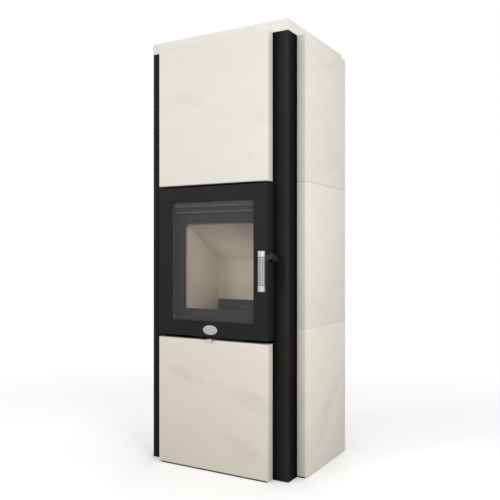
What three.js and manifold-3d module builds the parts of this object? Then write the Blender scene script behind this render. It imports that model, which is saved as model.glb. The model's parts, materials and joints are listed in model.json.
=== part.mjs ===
// A tall tiled wood stove: a steel firebox and storage core inside a black sheet casing,
// clad with cream ceramic slabs, with a glazed door, a lever handle and an air slide.
// Millimetres, +Z up, the front faces -Y. The casing's front plane is y = 0 while building.

import * as THREE from 'three';
import { mergeVertices } from 'three/addons/utils/BufferGeometryUtils.js';
import Module from 'manifold-3d';

const wasm = await Module();
wasm.setup();

// ---------------------------------------------------------------- driving dimensions

const seatGap = 0.3;              // air between pieces that touch or slide

// overall body
const overallHeight = 1600;
const bodyWidth = 587;
const bodyDepth = 482;

// cladding
const coverThickness = 40;
const stoneThickness = 35.5;
const stoneCourses = 3;
const slabChamfer = 1.5;
const tileWidth = 468;
const tileThickness = 38;
const tileStandOff = 3.3;         // air behind the front tiles
const tileEdgeRadius = 5;
const tileTopGap = 1;
const lowerTileHeight = 470.5;

// sheet casing
const baseThickness = 4;
const baseSetback = 6;            // the base plate lies this far inside the cladding's faces
const tongueSetback = 5;          // and its front tongue this far behind the lower tile's face
const casingSheet = 2;
const flangeWidth = 20;
const postSheet = 3;
const postSideWidth = 67;
const postBendRadius = 4;
const postReveal = 2;             // post flange starts this far beside the tiles
const rearReturn = 46;
const ventHeight = 6;
const ventPitch = 18;
const ventRows = 5;
const ventInset = 60;              // slots inside the casing's edges
const ventPipeGap = 4;            // and beside the flue's hole

// levelling screws
const screwDiameter = 12;
const screwHeadAcross = 19;
const screwHeadHeight = 8;
const screwInset = 70;            // from the base plate's main edges
const screwClearance = 0.4;

// door
const doorHeight = 547;
const doorThickness = 36;
const doorStandOff = 3;           // air between the door's back edge and the casing front
const doorGapBelow = 11.5;
const doorGapAbove = 7;
const doorFace = 5;
const doorWall = 6;
const doorEdgeRadius = 2;
const stileWidth = 55.5;           // door border beside the glass
const topRail = 53;
const bottomRail = 55;
const apertureBevel = 1;
const glassThickness = 4;
const glassOverlap = 6;
const clampSheet = 3;
const clampLap = 4;
const backFlangeInset = 10;       // back frame's flange lies this far before the door's back edge
const gasketWidth = 10;
const gasketOffset = 5;

// hinges
const hingeInset = 8;
const pinDiameter = 8;
const pinClearance = 0.3;
const pinLength = 24;
const bossWidth = 18;
const bossGap = 2;
const lugThickness = 4;
const lugWidth = 28;
const lugReach = 10;              // lug's plate beyond the pin's axis
const lugFlange = 34;
const lugDoorGap = 1.2;

// lever handle and latch
const latchHeight = 285;          // lever shaft above the door's bottom edge
const shaftSetback = 15;          // and behind the door's face
const shaftDiameter = 12;
const spigotDiameter = 8;
const spigotInset = 1;            // spigot's end inside the lever's outer face
const leverHeight = 20;
const leverThickness = 5;
const leverReach = 25;            // lever's outer face beyond the door's side
const leverBendRadius = 6;        // outside of its bend
const leverHubRim = 1;            // hub's radius beyond half the lever's height
const bendReach = 15;             // lever's bend before the door's face
const leverRise = 12;             // lever's bend above the shaft
const leverDrop = 6.5;            // and its grip end below the shaft
const gripDiameter = 25;
const gripWall = 1.5;
const gripLength = 138.5;
const gripRise = 27;              // top of the grip above the shaft
const gripStandOff = 37;          // grip's axis before the door's face
const gripInset = 4.5;            // and inside the door's side
const capDiameter = 26.4;
const capLength = 19;
const capEnd = 6;
const capEdge = 1.5;
const coreDiameter = 14;
const gripHoleDiameter = 5;
const gripHolePitch = 8.6;
const gripHoleColumns = 8;
const camThickness = 6;
const camInset = 9;               // cam behind the inner face of the door's side wall
const camHubRadius = 9;
const camNoseRadius = 3.5;
const camNoseDrop = 5;            // nose below the shaft
const camBackGap = 1.2;           // nose before the casing front
const camClearance = 0.8;         // cam's upper flank below the keeper
const keeperPinDiameter = 6;
const keeperPinReach = 8;         // pin before the casing front
const keeperPinRim = 1;           // ear's metal round the pin
const keeperEarRise = 12;         // ears above the pin, where they meet the plate
const keeperCheek = 4;
const keeperSideGap = 0.6;
const keeperPlate = 3;
const keeperPlateRise = 36;       // plate above the pin
const keeperSlotWidth = 5;
const keeperSlotLength = 8;
const keeperNotchGap = 6;         // door back frame's notch round the cam and keeper

// firebox
const openingBorder = 23.5;       // fire opening inside the glass aperture, each side
const openingLip = 40;            // fire opening's sill above the aperture
const openingDrop = 80;           // and its head below the aperture
const frameThickness = 5;
const revealDepth = 25;
const revealSheet = 4;
const frameInset = 2;
const liningStep = 9;             // lining stands in from the reveal
const liningThickness = 28;
const chamberDepth = 211;
const baffleThickness = 25;
const baffleBackRise = 187;       // baffle's underside above the sill at the rear lining
const baffleThroat = 6;
const liningNotch = 9;            // side lining's front corner is cut off
const liningNotchDrop = 8.5;
const boxSheet = 4;
const floorDrop = 82;             // firebox floor below the sill
const roofRise = 85;              // roof above the opening's head
const bedDrop = 32;               // top of the grate bed below the sill
const bedThickness = 14;
const bedWall = 8;
const riserHeight = 54;
const grateWidth = 190;
const grateDepth = 130;
const grateThickness = 8;
const grateSetback = 30;
const grateLedge = 7;
const grateSlot = 7;
const grateBar = 9;
const panWall = 2;
const panInset = 6;
const panClearance = 4;
const washSheet = 2;
const washInset = 10;
const washReach = 20;             // upper band before the casing front
const washShelf = 12;             // lower band before the casing front
const washBand = 20;
const washLip = 6;
const washRise = 2;               // top of the bands above the glass opening
const washFlange = 8;

// flue, air supply and storage
const flueDiameter = 150;
const flueWall = 2;
const flueBend = 110;
const flueDrop = 150;             // flue axis below the cover plate
const flueInset = 28;             // before the firebox's rear wall
const spigotProjection = 18;
const airDiameter = 100;
const airBend = 80;
const airHeight = 200;
const airInset = 8;
const pipeClearance = 3;
const shelfThickness = 4;
const shelfRise = 6;
const storageSide = 50;
const storageFront = 10;
const storageBack = 300;
const storageChamfer = 3;
const standSheet = 4;
const standInset = 12;

// air slide
const slideThickness = 2;
const slideRise = 3;              // above the lower tile
const slideTravel = 40;
const slideTab = 20;
const slideTabDrop = 9;
const slideReach = 9;             // tab before the tile's face
const slidePlateHalf = 62;
const slidePlateFront = 22;
const slidePlateBack = 58;
const guideWall = 4;
const portDiameter = 26;

// ---------------------------------------------------------------- worked-out levels and planes

const half = bodyWidth / 2;
const tileHalf = tileWidth / 2;
const panelHalf = tileHalf + postReveal - seatGap;
const seatLevel = baseThickness + seatGap;
const coverLevel = overallHeight - coverThickness;
const casingTop = coverLevel - seatGap;
const lowerTileTop = seatLevel + lowerTileHeight;
const doorBottom = lowerTileTop + doorGapBelow;
const doorTop = doorBottom + doorHeight;
const upperTileBottom = doorTop + doorGapAbove;
const tileFace = -tileStandOff - tileThickness;
const doorBack = -doorStandOff;
const doorFront = doorBack - doorThickness;
const rearReturnStart = bodyDepth - rearReturn;

const apertureHalf = tileHalf - stileWidth;
const apertureBottom = doorBottom + bottomRail;
const apertureTop = doorTop - topRail;
const glassFront = doorFront + doorFace + seatGap;
const glassBack = glassFront + glassThickness;

const openingHalf = apertureHalf - openingBorder;
const sill = apertureBottom + openingLip;
const head = apertureTop - openingDrop;
const chamberHalf = openingHalf - liningStep;
const liningOuter = chamberHalf + liningThickness;
const boxInner = liningOuter + seatGap;
const boxOuter = boxInner + boxSheet;
const boxFront = frameThickness + seatGap;
const liningFront = revealDepth + seatGap;
const chamberBack = liningFront + chamberDepth;
const liningBack = chamberBack + liningThickness;
const boxBack = liningBack + seatGap + boxSheet;
const floorTop = sill - floorDrop;
const floorBottom = floorTop - boxSheet;
const roofBottom = head + roofRise;
const roofTop = roofBottom + boxSheet;
const bedTop = sill - bedDrop;
const bedUnderside = bedTop - bedThickness;

const hingeX = -tileHalf + hingeInset;
const hingeY = doorBack - doorThickness / 2;
const latchZ = doorBottom + latchHeight;
const latchY = doorFront + shaftSetback;
const leverOuter = tileHalf + leverReach;
const leverInner = leverOuter - leverThickness;
const bendY = doorFront - bendReach;
const gripX = tileHalf - gripInset;
const gripY = doorFront - gripStandOff;
const gripTop = latchZ + gripRise;
const gripBottom = gripTop - gripLength;

const camX1 = tileHalf - doorWall - camInset;
const camX0 = camX1 - camThickness;
const camNoseY = -camBackGap - camNoseRadius;
const camNoseZ = latchZ - camNoseDrop;
const camLength = Math.hypot(camNoseY - latchY, camNoseDrop);
const camTilt = Math.atan2(-camNoseDrop, camNoseY - latchY);
const camSpread = Math.acos((camHubRadius - camNoseRadius) / camLength);
const earRadius = keeperPinDiameter / 2 + keeperPinRim;
const keeperPinY = -keeperPinReach;
const flankAngle = camTilt + camSpread;         // the way that the cam's upper flank faces
const flankToPin = camHubRadius + camClearance + earRadius;
const pinAboveShaft = flankToPin - Math.cos(flankAngle) * (keeperPinY - latchY);
const keeperPinZ = latchZ + pinAboveShaft / Math.sin(flankAngle);

const flueRadius = flueDiameter / 2;
const flueY = boxBack - boxSheet - flueInset - flueRadius;
const flueZ = coverLevel - flueDrop;
const airRadius = airDiameter / 2;
const airY = boxBack - boxSheet - airInset - airRadius;
const spigotEnd = bodyDepth + spigotProjection;
const frontReach = gripY - capDiameter / 2;

// ---------------------------------------------------------------- finishes

function finish(color, roughness, metalness) {
  return new THREE.MeshStandardMaterial({ color, roughness, metalness });
}

const ceramic = finish(0xe6e2d4, 0.45, 0);
const blackSheet = finish(0x2b2b2b, 0.55, 0.4);
const castIron = finish(0x3a3937, 0.75, 0.5);
const boxSteel = finish(0x4a4947, 0.6, 0.6);
const fireboard = finish(0xb3a58c, 0.9, 0);
const storageStone = finish(0x9a9088, 0.85, 0);
const ropeSeal = finish(0x2f2e2c, 0.95, 0);
const stainless = finish(0xc9c9c7, 0.3, 0.9);
const zincSteel = finish(0x9b9d9e, 0.4, 0.8);
const ceramicGlass = new THREE.MeshStandardMaterial({
  color: 0x55534f,
  roughness: 0.05,
  metalness: 0,
  transparent: true,
  opacity: 0.35,
});

// ---------------------------------------------------------------- geometry helpers

function solid(geometry) {
  const bare = geometry.clone();
  bare.deleteAttribute('normal');
  bare.deleteAttribute('uv');
  const merged = mergeVertices(bare, 1e-4);
  return new wasm.Manifold(new wasm.Mesh({
    numProp: 3,
    vertProperties: Float32Array.from(merged.attributes.position.array),
    triVerts: Uint32Array.from(merged.index.array),
  }));
}

function geometryOf(manifold) {
  const mesh = manifold.getMesh();
  const geometry = new THREE.BufferGeometry();
  geometry.setAttribute('position', new THREE.BufferAttribute(mesh.vertProperties, 3));
  geometry.setIndex(new THREE.BufferAttribute(mesh.triVerts, 1));
  geometry.computeVertexNormals();
  return geometry;
}

function join(first, ...others) {
  return geometryOf(others.reduce((sum, next) => sum.add(solid(next)), solid(first)));
}

function cut(body, ...tools) {
  return geometryOf(tools.reduce((rest, tool) => rest.subtract(solid(tool)), solid(body)));
}

function block(x0, x1, y0, y1, z0, z1) {
  const geometry = new THREE.BoxGeometry(x1 - x0, y1 - y0, z1 - z0);
  return geometry.translate((x0 + x1) / 2, (y0 + y1) / 2, (z0 + z1) / 2);
}

function outline(points) {
  return new THREE.Shape(points.map(([u, v]) => new THREE.Vector2(u, v)));
}

function rectangle(u0, u1, v0, v1) {
  return outline([[u0, v0], [u1, v0], [u1, v1], [u0, v1]]);
}

function flatExtrude(shape, depth, curveSegments = 12) {
  return new THREE.ExtrudeGeometry(shape, { depth, bevelEnabled: false, curveSegments });
}

// outline in (x, y), standing from z0 to z1
function prismZ(shape, z0, z1, curveSegments) {
  return flatExtrude(shape, z1 - z0, curveSegments).translate(0, 0, z0);
}

// outline in (x, z), running from y0 to y1
function prismY(shape, y0, y1, curveSegments) {
  return flatExtrude(shape, y1 - y0, curveSegments).rotateX(Math.PI / 2).translate(0, y1, 0);
}

// outline in (y, z), running from x0 to x1
function prismX(shape, x0, x1, curveSegments) {
  const turn = new THREE.Matrix4().makeBasis(
    new THREE.Vector3(0, 1, 0),
    new THREE.Vector3(0, 0, 1),
    new THREE.Vector3(1, 0, 0),
  );
  return flatExtrude(shape, x1 - x0, curveSegments).applyMatrix4(turn).translate(x0, 0, 0);
}

function rodX(x0, x1, y, z, radius, sides = 20) {
  const rod = new THREE.CylinderGeometry(radius, radius, x1 - x0, sides);
  return rod.rotateZ(Math.PI / 2).translate((x0 + x1) / 2, y, z);
}

function rodY(x, y0, y1, z, radius, sides = 24) {
  const rod = new THREE.CylinderGeometry(radius, radius, y1 - y0, sides);
  return rod.translate(x, (y0 + y1) / 2, z);
}

function rodZ(x, y, z0, z1, radius, sides = 20) {
  const rod = new THREE.CylinderGeometry(radius, radius, z1 - z0, sides);
  return rod.rotateX(Math.PI / 2).translate(x, y, (z0 + z1) / 2);
}

// points that replace the corner of a path by an arc of the given radius
function roundedCorner(before, corner, after, radius, steps) {
  const into = before.clone().sub(corner).normalize();
  const out = after.clone().sub(corner).normalize();
  const halfAngle = Math.acos(THREE.MathUtils.clamp(into.dot(out), -1, 1)) / 2;
  if (radius <= 0 || Math.PI / 2 - halfAngle < 1e-3) return [corner];
  const reach = radius / Math.tan(halfAngle);
  const centre = into.clone().add(out).normalize();
  centre.multiplyScalar(radius / Math.sin(halfAngle)).add(corner);
  const start = corner.clone().addScaledVector(into, reach).sub(centre);
  const end = corner.clone().addScaledVector(out, reach).sub(centre);
  const sweep = Math.atan2(start.cross(end), start.dot(end));
  const origin = new THREE.Vector2();
  return Array.from({ length: steps + 1 }, (_, i) =>
    start.clone().rotateAround(origin, (sweep * i) / steps).add(centre));
}

// cross-section of a folded sheet: the path is one face, the sheet lies to its left
function foldedSheet(path, thickness, bendRadius = 0) {
  const points = path.map(([u, v]) => new THREE.Vector2(u, v));
  const last = points.length - 1;
  const directions = points.slice(1).map((point, i) => point.clone().sub(points[i]).normalize());
  const left = directions.map((d) => new THREE.Vector2(-d.y, d.x));
  const offset = points.map((point, i) => {
    const a = left[Math.max(i - 1, 0)];
    const b = left[Math.min(i, last - 1)];
    const mitre = a.clone().add(b);
    return point.clone().addScaledVector(mitre, (2 * thickness) / mitre.lengthSq());
  });
  const faceOf = (corners, radiusAt) => corners.flatMap((corner, i) => {
    if (i === 0 || i === last) return [corner];
    return roundedCorner(corners[i - 1], corner, corners[i + 1], radiusAt(i), 4);
  });
  const turnsLeft = (i) => directions[i - 1].cross(directions[i]) > 0;
  const inner = Math.max(bendRadius - thickness, 0);
  const near = faceOf(points, (i) => (turnsLeft(i) ? bendRadius : inner));
  const far = faceOf(offset, (i) => (turnsLeft(i) ? inner : bendRadius));
  return new THREE.Shape([...near, ...far.reverse()]);
}

// the same path on the right (side = 1) or mirrored to the left (side = -1)
function sided(points, side) {
  return side > 0 ? points : points.map(([u, v]) => [-u, v]).reverse();
}

function span(a, b, side) {
  return side > 0 ? [a, b] : [-b, -a];
}

// slab with all its edges chamfered
function chamferedSlab(x0, x1, y0, y1, z0, z1, chamfer) {
  const shape = rectangle(x0 + chamfer, x1 - chamfer, y0 + chamfer, y1 - chamfer);
  const slab = new THREE.ExtrudeGeometry(shape, {
    depth: z1 - z0 - 2 * chamfer,
    bevelEnabled: true,
    bevelThickness: chamfer,
    bevelSize: chamfer,
    bevelSegments: 1,
  });
  return slab.translate(0, 0, z0 + chamfer);
}

// upright slab whose front edges are rounded and whose back is flat
function frontSlab(x0, x1, y0, y1, z0, z1, radius, segments) {
  const shape = rectangle(x0 + radius, x1 - radius, z0 + radius, z1 - radius);
  const rounded = new THREE.ExtrudeGeometry(shape, {
    depth: y1 - y0,
    bevelEnabled: true,
    bevelThickness: radius,
    bevelSize: radius,
    bevelSegments: segments,
  });
  rounded.rotateX(Math.PI / 2).translate(0, y1 + radius, 0);
  const behind = [y1, y1 + 3 * radius];
  return cut(rounded, block(x0 - radius, x1 + radius, ...behind, z0 - radius, z1 + radius));
}

// rectangular frame in the door's plane, from y0 to y1
function frameRing(halfOuter, bottomOuter, topOuter, width, y0, y1) {
  const shape = rectangle(-halfOuter, halfOuter, bottomOuter, topOuter);
  const inner = halfOuter - width;
  shape.holes.push(rectangle(-inner, inner, bottomOuter + width, topOuter - width));
  return prismY(shape, y0, y1);
}

function annulus(outer, inner) {
  const shape = new THREE.Shape().absarc(0, 0, outer, 0, 2 * Math.PI, false);
  if (inner > 0) {
    shape.holes.push(new THREE.Path().absarc(0, 0, inner, 0, 2 * Math.PI, true));
  }
  return shape;
}

// vertical leg and rear leg of a pipe, joined by a quarter bend; bendSide is 1 upwards to the
// rear, -1 from the rear upwards
function bentPipe(radius, wall, points, bend) {
  const [start, corner, end] = points;
  const into = start.clone().sub(corner).normalize().multiplyScalar(bend).add(corner);
  const out = end.clone().sub(corner).normalize().multiplyScalar(bend).add(corner);
  const path = new THREE.CurvePath();
  path.add(new THREE.LineCurve3(start, into));
  path.add(new THREE.QuadraticBezierCurve3(into, corner, out));
  path.add(new THREE.LineCurve3(out, end));
  return new THREE.ExtrudeGeometry(annulus(radius, radius - wall), {
    steps: 14,
    curveSegments: 10,
    bevelEnabled: false,
    extrudePath: path,
  });
}

// ---------------------------------------------------------------- the stove

const stove = new THREE.Group();
stove.position.y = -(frontReach + spigotEnd) / 2;

function piece(name, geometry, material) {
  const mesh = new THREE.Mesh(geometry, material);
  mesh.name = name;
  stove.add(mesh);
  return mesh;
}

const sides = [['left', -1], ['right', 1]];

// ---- base plate and levelling screws

const plateHalf = half + seatGap + stoneThickness - baseSetback;
const plateFrontHalf = half - flangeWidth - seatGap;
const tongueHalf = tileHalf - baseSetback;
const plateFront = postSheet + seatGap;
const screwPlaces = [];
const screwRows = [['front', postSideWidth + screwInset], ['rear', rearReturnStart - screwInset]];
for (const [depthName, y] of screwRows) {
  for (const [sideName, side] of sides) {
    screwPlaces.push([`${depthName}_${sideName}`, side * (plateHalf - screwInset), y]);
  }
}

function basePlate() {
  const rightEdge = [
    [tongueHalf, tileFace + tongueSetback],
    [tongueHalf, plateFront],
    [plateFrontHalf, plateFront],
    [plateFrontHalf, postSideWidth + seatGap],
    [plateHalf, postSideWidth + seatGap],
    [plateHalf, rearReturnStart - baseSetback],
    [half, rearReturnStart - baseSetback],
    [half, bodyDepth],
  ];
  const leftEdge = rightEdge.map(([x, y]) => [-x, y]).reverse();
  const shape = outline([...rightEdge, ...leftEdge]);
  const radius = screwDiameter / 2 + screwClearance;
  for (const [, x, y] of screwPlaces) {
    shape.holes.push(new THREE.Path().absarc(x, y, radius, 0, 2 * Math.PI, true));
  }
  return prismZ(shape, 0, baseThickness, 6);
}

function levellingScrew(x, y) {
  const headRadius = screwHeadAcross / Math.sqrt(3);
  const shank = rodZ(x, y, 0, seatLevel + screwHeadHeight / 2, screwDiameter / 2, 12);
  return join(shank, rodZ(x, y, seatLevel, seatLevel + screwHeadHeight, headRadius, 6));
}

piece('base_plate', basePlate(), blackSheet);
for (const [place, x, y] of screwPlaces) {
  piece(`levelling_screw_${place}`, levellingScrew(x, y), zincSteel);
}

// ---- corner posts, side panels, front panels and rear casing

function cornerPost(side) {
  const path = sided([
    [tileHalf + postReveal, 0],
    [half, 0],
    [half, postSideWidth],
    [half - flangeWidth, postSideWidth],
  ], side);
  return prismZ(foldedSheet(path, postSheet, postBendRadius), 0, casingTop);
}

function sidePanel(side) {
  const start = postSideWidth + seatGap;
  const end = rearReturnStart - seatGap;
  const path = sided([
    [half - flangeWidth, start],
    [half, start],
    [half, end],
    [half - flangeWidth, end],
  ], side);
  return prismZ(foldedSheet(path, casingSheet, casingSheet), seatLevel, casingTop);
}

function frontPanel(z0, z1) {
  const path = [
    [-panelHalf, flangeWidth],
    [-panelHalf, 0],
    [panelHalf, 0],
    [panelHalf, flangeWidth],
  ];
  return prismZ(foldedSheet(path, casingSheet, casingSheet), z0, z1);
}

function rearCasing() {
  const path = [
    [half, rearReturnStart],
    [half, bodyDepth],
    [-half, bodyDepth],
    [-half, rearReturnStart],
  ];
  const shell = prismZ(foldedSheet(path, casingSheet, casingSheet), seatLevel, casingTop);
  const through = [bodyDepth - 2 * casingSheet, bodyDepth + casingSheet];
  const tools = [
    rodY(0, ...through, flueZ, flueRadius + pipeClearance / 2),
    rodY(0, ...through, airHeight, airRadius + pipeClearance / 2),
  ];
  const besideFlue = flueRadius + pipeClearance / 2 + ventPipeGap;
  for (let row = 0; row < ventRows; row += 1) {
    for (const side of [-1, 1]) {
      const across = span(besideFlue, half - ventInset, side);
      const low = seatLevel + ventInset + row * ventPitch;
      const high = casingTop - ventInset - row * ventPitch;
      for (const z of [low, high]) {
        tools.push(block(...across, ...through, z, z + ventHeight));
      }
    }
  }
  return cut(shell, ...tools);
}

for (const [sideName, side] of sides) {
  piece(`corner_post_${sideName}`, cornerPost(side), blackSheet);
  piece(`side_panel_${sideName}`, sidePanel(side), blackSheet);
}
const frameTop = doorTop - frameInset;
const frameBottom = doorBottom + frameInset;
piece('lower_front_panel', frontPanel(seatLevel, lowerTileTop), blackSheet);
piece('upper_front_panel', frontPanel(frameTop + seatGap, casingTop), blackSheet);
piece('rear_casing', rearCasing(), blackSheet);

// ---- ceramic cladding

const courseHeight = (casingTop + seatGap - seatLevel) / stoneCourses;
const courseNames = ['lower', 'middle', 'upper'];
const stoneInner = half + seatGap;
for (const [sideName, side] of sides) {
  for (let course = 0; course < stoneCourses; course += 1) {
    const z0 = seatLevel + course * courseHeight;
    const z1 = z0 + courseHeight - seatGap;
    const [x0, x1] = span(stoneInner, stoneInner + stoneThickness, side);
    const slab = chamferedSlab(x0, x1, postSideWidth, rearReturnStart, z0, z1, slabChamfer);
    piece(`side_slab_${sideName}_${courseNames[course] ?? course + 1}`, slab, ceramic);
  }
}

function frontTile(z0, z1) {
  return frontSlab(-tileHalf, tileHalf, tileFace, -tileStandOff, z0, z1, tileEdgeRadius, 3);
}

piece('lower_tile', frontTile(seatLevel, lowerTileTop), ceramic);
piece('upper_tile', frontTile(upperTileBottom, coverLevel - tileTopGap), ceramic);
const cover = chamferedSlab(-half, half, 0, bodyDepth, coverLevel, overallHeight, slabChamfer);
piece('top_plate', cover, ceramic);

// ---- ledge that carries the upper tile, and the hinge lugs beside it

const behindTile = -tileStandOff + seatGap;   // front of the flanges that lie behind the tiles
const flangeSheet = -seatGap - behindTile;
const ledgeHalf = tileHalf - lugWidth - 2 * hingeInset;

function tileLedge() {
  const top = upperTileBottom - seatGap;
  const path = [
    [tileFace + tongueSetback, top - flangeSheet],
    [-seatGap, top - flangeSheet],
    [-seatGap, top + lugFlange],
  ];
  return prismX(foldedSheet(path, flangeSheet), -ledgeHalf, ledgeHalf);
}

function hingeLug(plateBottom, upwards) {
  const x0 = hingeX - lugWidth / 2;
  const x1 = hingeX + lugWidth / 2;
  const flange = upwards
    ? [plateBottom, plateBottom + lugFlange]
    : [plateBottom + lugThickness - lugFlange, plateBottom + lugThickness];
  const plateTop = plateBottom + lugThickness;
  const plate = block(x0, x1, hingeY - lugReach, behindTile + flangeSheet / 2, plateBottom, plateTop);
  const lug = join(plate, block(x0, x1, behindTile, -seatGap, ...flange));
  const bore = rodZ(hingeX, hingeY, plateBottom - 1, plateTop + 1, pinDiameter / 2 + pinClearance);
  return cut(lug, bore);
}

const upperLugBottom = doorTop + lugDoorGap;
const lowerLugBottom = doorBottom - lugDoorGap - lugThickness;
piece('upper_tile_ledge', tileLedge(), blackSheet);
piece('hinge_lug_upper', hingeLug(upperLugBottom, true), blackSheet);
piece('hinge_lug_lower', hingeLug(lowerLugBottom, false), blackSheet);

// ---- firebox: front frame and steel shell

function fireboxFrame() {
  const plate = rectangle(-panelHalf, panelHalf, frameBottom, frameTop);
  plate.holes.push(rectangle(-openingHalf, openingHalf, sill, head));
  const outer = openingHalf + revealSheet;
  const depth = [frameThickness / 2, revealDepth];
  const reveals = [block(-outer, outer, ...depth, sill - revealSheet, sill)];
  for (const side of [-1, 1]) {
    const across = span(openingHalf, outer, side);
    reveals.push(block(...across, ...depth, sill - revealSheet, head));
  }
  return join(prismY(plate, 0, frameThickness), ...reveals);
}

function horizontalPlate(z0, z1, holes) {
  const shape = rectangle(-boxOuter, boxOuter, boxFront, boxBack);
  for (const [x, y, radius] of holes) {
    shape.holes.push(new THREE.Path().absarc(x, y, radius, 0, 2 * Math.PI, true));
  }
  return prismZ(shape, z0, z1, 10);
}

const portX = slidePlateHalf / 2;
const portY = (slidePlateFront + slidePlateBack) / 2;
const wallBottom = floorTop + seatGap;
const wallTop = roofBottom - seatGap;
piece('firebox_frame', fireboxFrame(), castIron);
piece('firebox_floor', horizontalPlate(floorBottom, floorTop, [
  [0, airY, airRadius - 2 * flueWall],
  [-portX, portY, portDiameter / 2],
  [portX, portY, portDiameter / 2],
]), boxSteel);
piece('firebox_roof', horizontalPlate(roofBottom, roofTop, [
  [0, flueY, flueRadius - 2 * flueWall],
]), boxSteel);
for (const [sideName, side] of sides) {
  const [x0, x1] = span(boxInner, boxOuter, side);
  const wall = block(x0, x1, boxFront, boxBack - boxSheet - seatGap, wallBottom, wallTop);
  piece(`firebox_wall_${sideName}`, wall, boxSteel);
}
const rearWall = block(-boxOuter, boxOuter, boxBack - boxSheet, boxBack, wallBottom, wallTop);
piece('firebox_wall_rear', rearWall, boxSteel);

// ---- firebox: grate bed, grate and ash pan

const bedBottom = floorTop + seatGap;
const bedHalf = liningOuter;
const bedBack = liningBack;
const grateFront = liningFront + grateSetback;
const grateRear = grateFront + grateDepth;
const grateHalf = grateWidth / 2;
const riserTop = bedTop + riserHeight;

function grateBed() {
  const tray = block(-bedHalf, bedHalf, liningFront, bedBack, bedBottom, bedTop);
  const riserHalf = chamberHalf - seatGap;
  const riser = block(-riserHalf, riserHalf, chamberBack, bedBack, bedUnderside, riserTop);
  const hollowHalf = bedHalf - bedWall;
  const hollowDepth = [liningFront + bedWall, bedBack - bedWall];
  const hollow = block(-hollowHalf, hollowHalf, ...hollowDepth, bedBottom - 1, bedUnderside);
  const seatHalf = grateHalf + seatGap;
  const seatDepth = [grateFront - seatGap, grateRear + seatGap];
  const seatBottom = bedTop - grateThickness - seatGap;
  const seat = block(-seatHalf, seatHalf, ...seatDepth, seatBottom, bedTop + 1);
  const well = [bedUnderside - 1, bedTop];
  const opening = block(
    -grateHalf + grateLedge,
    grateHalf - grateLedge,
    grateFront + grateLedge,
    grateRear - grateLedge,
    ...well,
  );
  return cut(join(tray, riser), hollow, seat, opening);
}

function grate() {
  const pitch = grateSlot + grateBar;
  const count = Math.floor((grateWidth - 3 * grateBar) / pitch);
  const first = -((count - 1) * pitch) / 2;
  const slotFront = grateFront + 2 * grateBar;
  const slotRear = grateRear - 2 * grateBar;
  const through = [bedTop - 2 * grateThickness, bedTop + 1];
  const slots = Array.from({ length: count }, (_, i) => {
    const x = first + i * pitch;
    return block(x - grateSlot / 2, x + grateSlot / 2, slotFront, slotRear, ...through);
  });
  const plate = block(-grateHalf, grateHalf, grateFront, grateRear, bedTop - grateThickness, bedTop);
  return cut(plate, ...slots);
}

function ashPan() {
  const outerHalf = grateHalf - grateLedge - panInset / 2;
  const front = grateFront + grateLedge + panInset / 2;
  const rear = grateRear - grateLedge - panInset / 2;
  const bottom = floorTop + seatGap;
  const top = bedUnderside - panClearance;
  const tub = block(-outerHalf, outerHalf, front, rear, bottom, top);
  const inside = block(
    -outerHalf + panWall,
    outerHalf - panWall,
    front + panWall,
    rear - panWall,
    bottom + panWall,
    top + 1,
  );
  return cut(tub, inside);
}

piece('grate_bed', grateBed(), castIron);
piece('grate', grate(), castIron);
piece('ash_pan', ashPan(), boxSteel);

// ---- firebox: linings and the sloping baffle

const baffleHigh = head;
const baffleLow = sill + baffleBackRise;
const baffleSlope = (baffleHigh - baffleLow) / (chamberBack - liningFront);
const baffleAngle = Math.atan(baffleSlope);

// height of the baffle's underside over a depth y
function baffleUnderside(y) {
  return baffleHigh - baffleSlope * (y - liningFront);
}

function sideLining(side) {
  const bottom = bedTop + seatGap;
  const notchY = liningFront + liningNotch;
  const shape = outline([
    [liningFront, bottom],
    [liningBack, bottom],
    [liningBack, baffleUnderside(liningBack) - seatGap],
    [notchY, baffleUnderside(notchY) - seatGap],
    [liningFront, baffleUnderside(notchY) - seatGap - liningNotchDrop],
  ]);
  return prismX(shape, ...span(chamberHalf, liningOuter, side));
}

function rearLining() {
  const bottom = riserTop + seatGap;
  const shape = outline([
    [chamberBack, bottom],
    [liningBack, bottom],
    [liningBack, baffleUnderside(liningBack) - seatGap],
    [chamberBack, baffleUnderside(chamberBack) - seatGap],
  ]);
  return prismX(shape, -chamberHalf + seatGap, chamberHalf - seatGap);
}

function baffle() {
  const front = liningFront + baffleThroat;
  const rise = baffleThickness / Math.cos(baffleAngle);
  const frontUpper = front + baffleThickness * Math.sin(baffleAngle);
  const shape = outline([
    [front, baffleUnderside(front)],
    [liningBack, baffleUnderside(liningBack)],
    [liningBack, baffleUnderside(liningBack) + rise],
    [frontUpper, baffleUnderside(frontUpper) + rise],
  ]);
  return prismX(shape, -liningOuter, liningOuter);
}

for (const [sideName, side] of sides) {
  piece(`lining_${sideName}`, sideLining(side), fireboard);
}
piece('lining_rear', rearLining(), fireboard);
piece('baffle', baffle(), fireboard);

// ---- air wash strip above the fire opening, behind the top of the glass

function airWashStrip() {
  const high = apertureTop + washRise;
  const low = high - 2 * washBand;
  const path = [
    [-washShelf - washLip, low - washLip / 2],
    [-washShelf, low],
    [-washShelf, low + washBand],
    [-washReach, low + washBand],
    [-washReach, high],
    [-seatGap, high],
    [-seatGap, high + washFlange],
  ];
  return prismX(foldedSheet(path, washSheet), -apertureHalf + washInset, apertureHalf - washInset);
}

piece('air_wash_strip', airWashStrip(), boxSteel);

// ---- stand, air supply and air slide

const standHalf = boxInner - standInset;
const guideBack = slidePlateBack + guideWall + seatGap;
const slideBottom = lowerTileTop + slideRise;
const slideTop = slideBottom + slideThickness;

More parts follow.
